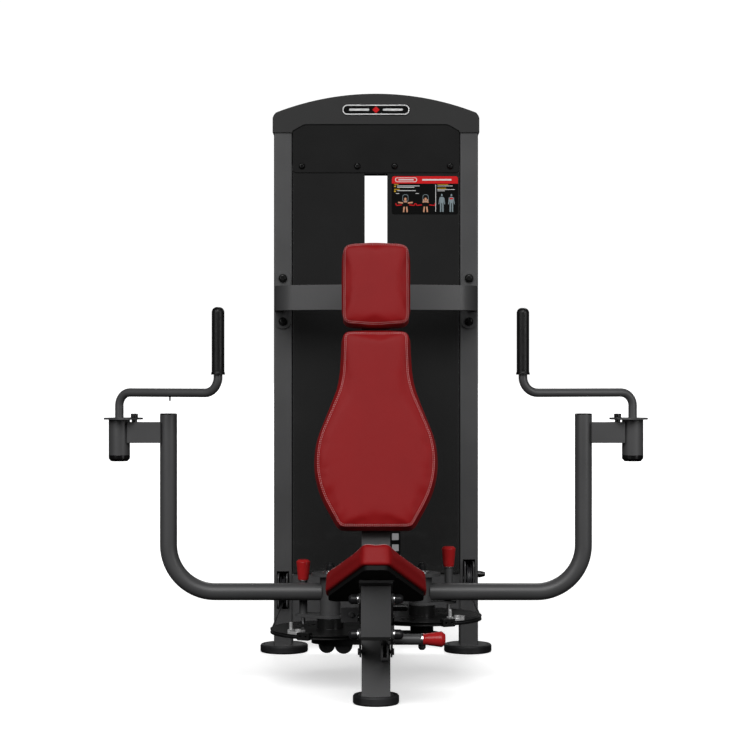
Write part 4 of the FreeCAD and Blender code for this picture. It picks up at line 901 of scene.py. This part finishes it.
def figure(skins, reds, greys, x, z, open_arms):
    """A plain seated figure: arms spread, or brought together in front."""
    greys += frame_strip(round_bar(x - 0.0095, x + 0.0095, z - 0.012, z + 0.012, 0.007),
                         round_bar(x - 0.0082, x + 0.0082, z - 0.0107, z + 0.0107, 0.006))
    skins.append(blob(x, z - 0.003, 0.0036, 0.0045))
    skins.append(limb(x, z - 0.008, x, z - 0.014, 0.010))
    skins += limb_pair(x, z, (0.004, 0.028), (0.006, 0.046), 0.0045)
    if open_arms:
        skins += limb_pair(x, z, (0.008, 0.016), (0.024, 0.014), 0.0045)
    else:
        skins += limb_pair(x, z, (0.008, 0.015), (0.006, 0.004), 0.0045)
    reds += limb_pair(x, z, (0.012, 0.022), (0.029, 0.024), 0.003)
    reds += limb_pair(x, z, (0.029, 0.024), (0.032, 0.017), 0.003)


def body_chart(greys, reds, x, z, marked):
    """A plain standing figure; one has its chest marked."""
    greys.append(blob(x, z, 0.0028, 0.0038))
    greys.append(round_bar(x - 0.0062, x + 0.0062, z - 0.026, z - 0.006, 0.0028))
    greys += limb_pair(x, z, (0.0068, 0.008), (0.0095, 0.03), 0.0026)
    greys += limb_pair(x, z, (0.0034, 0.026), (0.0038, 0.055), 0.0042)
    if marked:
        reds.append(round_bar(x - 0.0056, x + 0.0056, z - 0.0135, z - 0.009, 0.002))


def make_badge():
    """Plain badge on the cover: pale border, a small diamond and two bars."""
    low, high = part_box("cover_badge")
    y, x, z = low.y, (low.x + high.x) / 2, (low.z + high.z) / 2
    half, tall = (high.x - low.x) / 2, (high.z - low.z) / 2

    def line_at(inset, radius):
        return round_bar(inset - half, half - inset, z - tall + inset, z + tall - inset, radius, 12)

    border = frame_strip(line_at(0.0015, 0.0155), line_at(0.005, 0.012))
    for start, end in ((-0.088, -0.022), (0.022, 0.088)):
        border.append(round_bar(start, end, z - 0.0035, z + 0.0035, 0.003))
    flat("badge_border", border, y, BADGE_INK, silver_ink, "badge_print")
    diamond = [(x - 0.012, z), (x, z - 0.011), (x + 0.012, z), (x, z + 0.011)]
    flat("badge_diamond", [diamond], y, BADGE_INK, red_ink, "badge_print")


def make_tab_strip():
    """Plain pale tabs beside the stack, one for each plate, on a dark strip."""
    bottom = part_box("weight_plates_resting")[0].z
    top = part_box("weight_plates_selected")[1].z
    pitch = (top - bottom) / PLATE_COUNT
    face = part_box("front_panel_right")[0].y
    strip = round_bar(STRIP_LEFT, STRIP_RIGHT, bottom - STRIP_OVERHANG, top + STRIP_OVERHANG, 0.004)
    flat("tab_strip", [strip], face, STRIP_THICKNESS, black_print, PRINT)
    tabs = []
    for step in range(PLATE_COUNT):
        z = bottom + (step + 0.5) * pitch
        tabs.append(round_bar(TAB_LEFT, TAB_RIGHT, z - TAB_HALF_HEIGHT, z + TAB_HALF_HEIGHT, 0.002))
    flat("plate_tabs", tabs, face - TAB_RISE, INK, tab_ink, PRINT)


make_placard()
make_badge()
make_tab_strip()


# ---------------------------------------------------------------- cables


def make_cable_leads():
    """The last straight stretch of each cable, up to where it meets its cam's groove."""
    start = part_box("cable_runs")[0].y
    for side in ("left", "right"):
        hub = next(j["pos_m"] for j in frame["joints"] if j["name"] == f"arm_{side}_swing")
        low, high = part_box(f"cable_wrap_{side}")
        z = (low.z + high.z) / 2
        x = low.x + CABLE_RADIUS if side == "left" else high.x - CABLE_RADIUS
        curve = bpy.data.curves.new(f"cable_lead_{side}", "CURVE")
        curve.dimensions = "3D"
        curve.bevel_depth = CABLE_RADIUS
        curve.bevel_resolution = 4
        curve.use_fill_caps = True
        line = curve.splines.new("POLY")
        line.points.add(LEAD_SPANS)
        for k, point in enumerate(line.points):
            point.co = (x, start + (hub[1] - start) * k / LEAD_SPANS, z, 1)
        new_piece(f"cable_lead_{side}", curve, rope, "frame")


def make_cable_drops():
    """The drops to the head plate, copied from their CAD piece and set on the frame."""
    drops = new_piece("cable_drop_pair", nodes["cable_drops"].data.copy(), None, "frame")
    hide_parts("cable_drops")
    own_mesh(drops)


make_cable_leads()
make_cable_drops()


# ---------------------------------------------------------------- floor, light, camera


def floor_material():
    """White floor, part lit and part glowing, with a broad soft gloss."""
    s = Shader("pale_floor", (0.92, 0.92, 0.92), 0.6, ior=1.0)
    s.set("Emission Color", (1, 1, 1, 1))
    away = s.add("ShaderNodeVectorMath", {0: s.space}, operation="LENGTH").outputs["Value"]
    s.set("Emission Strength", s.remap(away, *GLOW_SPAN, GLOW_NEAR, GLOW_FAR))
    gloss = s.add("ShaderNodeBsdfAnisotropic", {"Color": (1, 1, 1, 1), "Roughness": 0.45})
    mix = s.add("ShaderNodeMixShader",
                {0: FLOOR_GLOSS, 1: s.bsdf.outputs[0], 2: gloss.outputs[0]})
    feed_socket(s.tree, s.tree.nodes["Material Output"].inputs["Surface"], mix.outputs[0])
    return s.material


def make_floor():
    """Pale floor to the horizon, which lights nothing else."""
    mesh = bpy.data.meshes.new("floor")
    reach = FLOOR_REACH
    mesh.from_pydata([(-reach, -reach, 0), (reach, -reach, 0), (reach, reach, 0),
                      (-reach, reach, 0)], [], [(0, 1, 2, 3)])
    floor = linked("floor", mesh)
    floor.data.materials.append(floor_material())
    floor.visible_diffuse = False
    floor.visible_glossy = False


def make_world():
    """White to the camera, a studio brighter above, and a backdrop that only gloss sees."""
    world = bpy.data.worlds.new("studio")
    world.use_nodes = True
    scene.world = world
    tree = world.node_tree
    background = tree.nodes["Background"]
    view = add_node(tree, "ShaderNodeTexCoord").outputs["Generated"]
    toward = add_node(tree, "ShaderNodeSeparateXYZ", {0: view})
    rise = add_node(tree, "ShaderNodeMapRange", {
        "Value": toward.outputs["Z"], "From Min": AMBIENT_SPAN[0], "From Max": AMBIENT_SPAN[1],
        "To Min": AMBIENT_LOW, "To Max": AMBIENT_HIGH})
    behind = add_node(tree, "ShaderNodeMapRange", {
        "Value": toward.outputs["Y"], "From Min": BACKDROP_SPAN[0], "From Max": BACKDROP_SPAN[1],
        "To Max": BACKDROP_GLOSS})
    ray = add_node(tree, "ShaderNodeLightPath").outputs
    total = add_node(tree, "ShaderNodeMath", {
        0: behind.outputs[0], 1: ray["Is Glossy Ray"], 2: rise.outputs[0]},
        operation="MULTIPLY_ADD")
    feed_socket(tree, background.inputs["Strength"], total.outputs[0])
    backdrop = add_node(tree, "ShaderNodeBackground",
                        {"Color": (1, 1, 1, 1), "Strength": BACKDROP_SEEN})
    mix = add_node(tree, "ShaderNodeMixShader", {
        0: ray["Is Camera Ray"], 1: background.outputs[0], 2: backdrop.outputs[0]})
    feed_socket(tree, tree.nodes["World Output"].inputs["Surface"], mix.outputs[0])


def soft_sun(name, tilt, turn, spread, strength):
    light = bpy.data.lights.new(name, "SUN")
    light.angle = math.radians(spread)
    light.energy = strength
    lamp = linked(name, light)
    lamp.rotation_euler = (math.radians(tilt), 0, math.radians(turn))


def area_light(name, place, aim, size, power):
    light = bpy.data.lights.new(name, "AREA")
    light.shape = "RECTANGLE"
    light.size, light.size_y = size
    light.energy = power
    lamp = linked(name, light)
    lamp.location = place
    lamp.rotation_euler = (Vector(aim) - Vector(place)).to_track_quat("-Z", "Y").to_euler()


def make_camera():
    lens = bpy.data.cameras.new("camera")
    lens.lens = FOCAL_LENGTH
    lens.sensor_width = 36.0
    lens.shift_x = LENS_SHIFT
    lens.clip_end = 200
    camera = linked("camera", lens)
    camera.location = CAMERA_PLACE
    camera.rotation_euler = (math.radians(90), 0, 0)
    scene.camera = camera


make_floor()
make_world()
soft_sun("key_sun", tilt=51, turn=-5, spread=36, strength=2.35)
area_light("front_left", place=(-2.6, -3.2, 2.2), aim=(0, 0, 0.9), size=(1.8, 2.4), power=58)
area_light("front_right", place=(2.8, -2.8, 1.8), aim=(0, 0, 0.9), size=(1.4, 2.2), power=54)
area_light("rim", place=(0.5, 3.2, 3.2), aim=(0, 0.3, 1.2), size=(2.5, 1.5), power=50)
make_camera()
scene.view_settings.view_transform = "Standard"
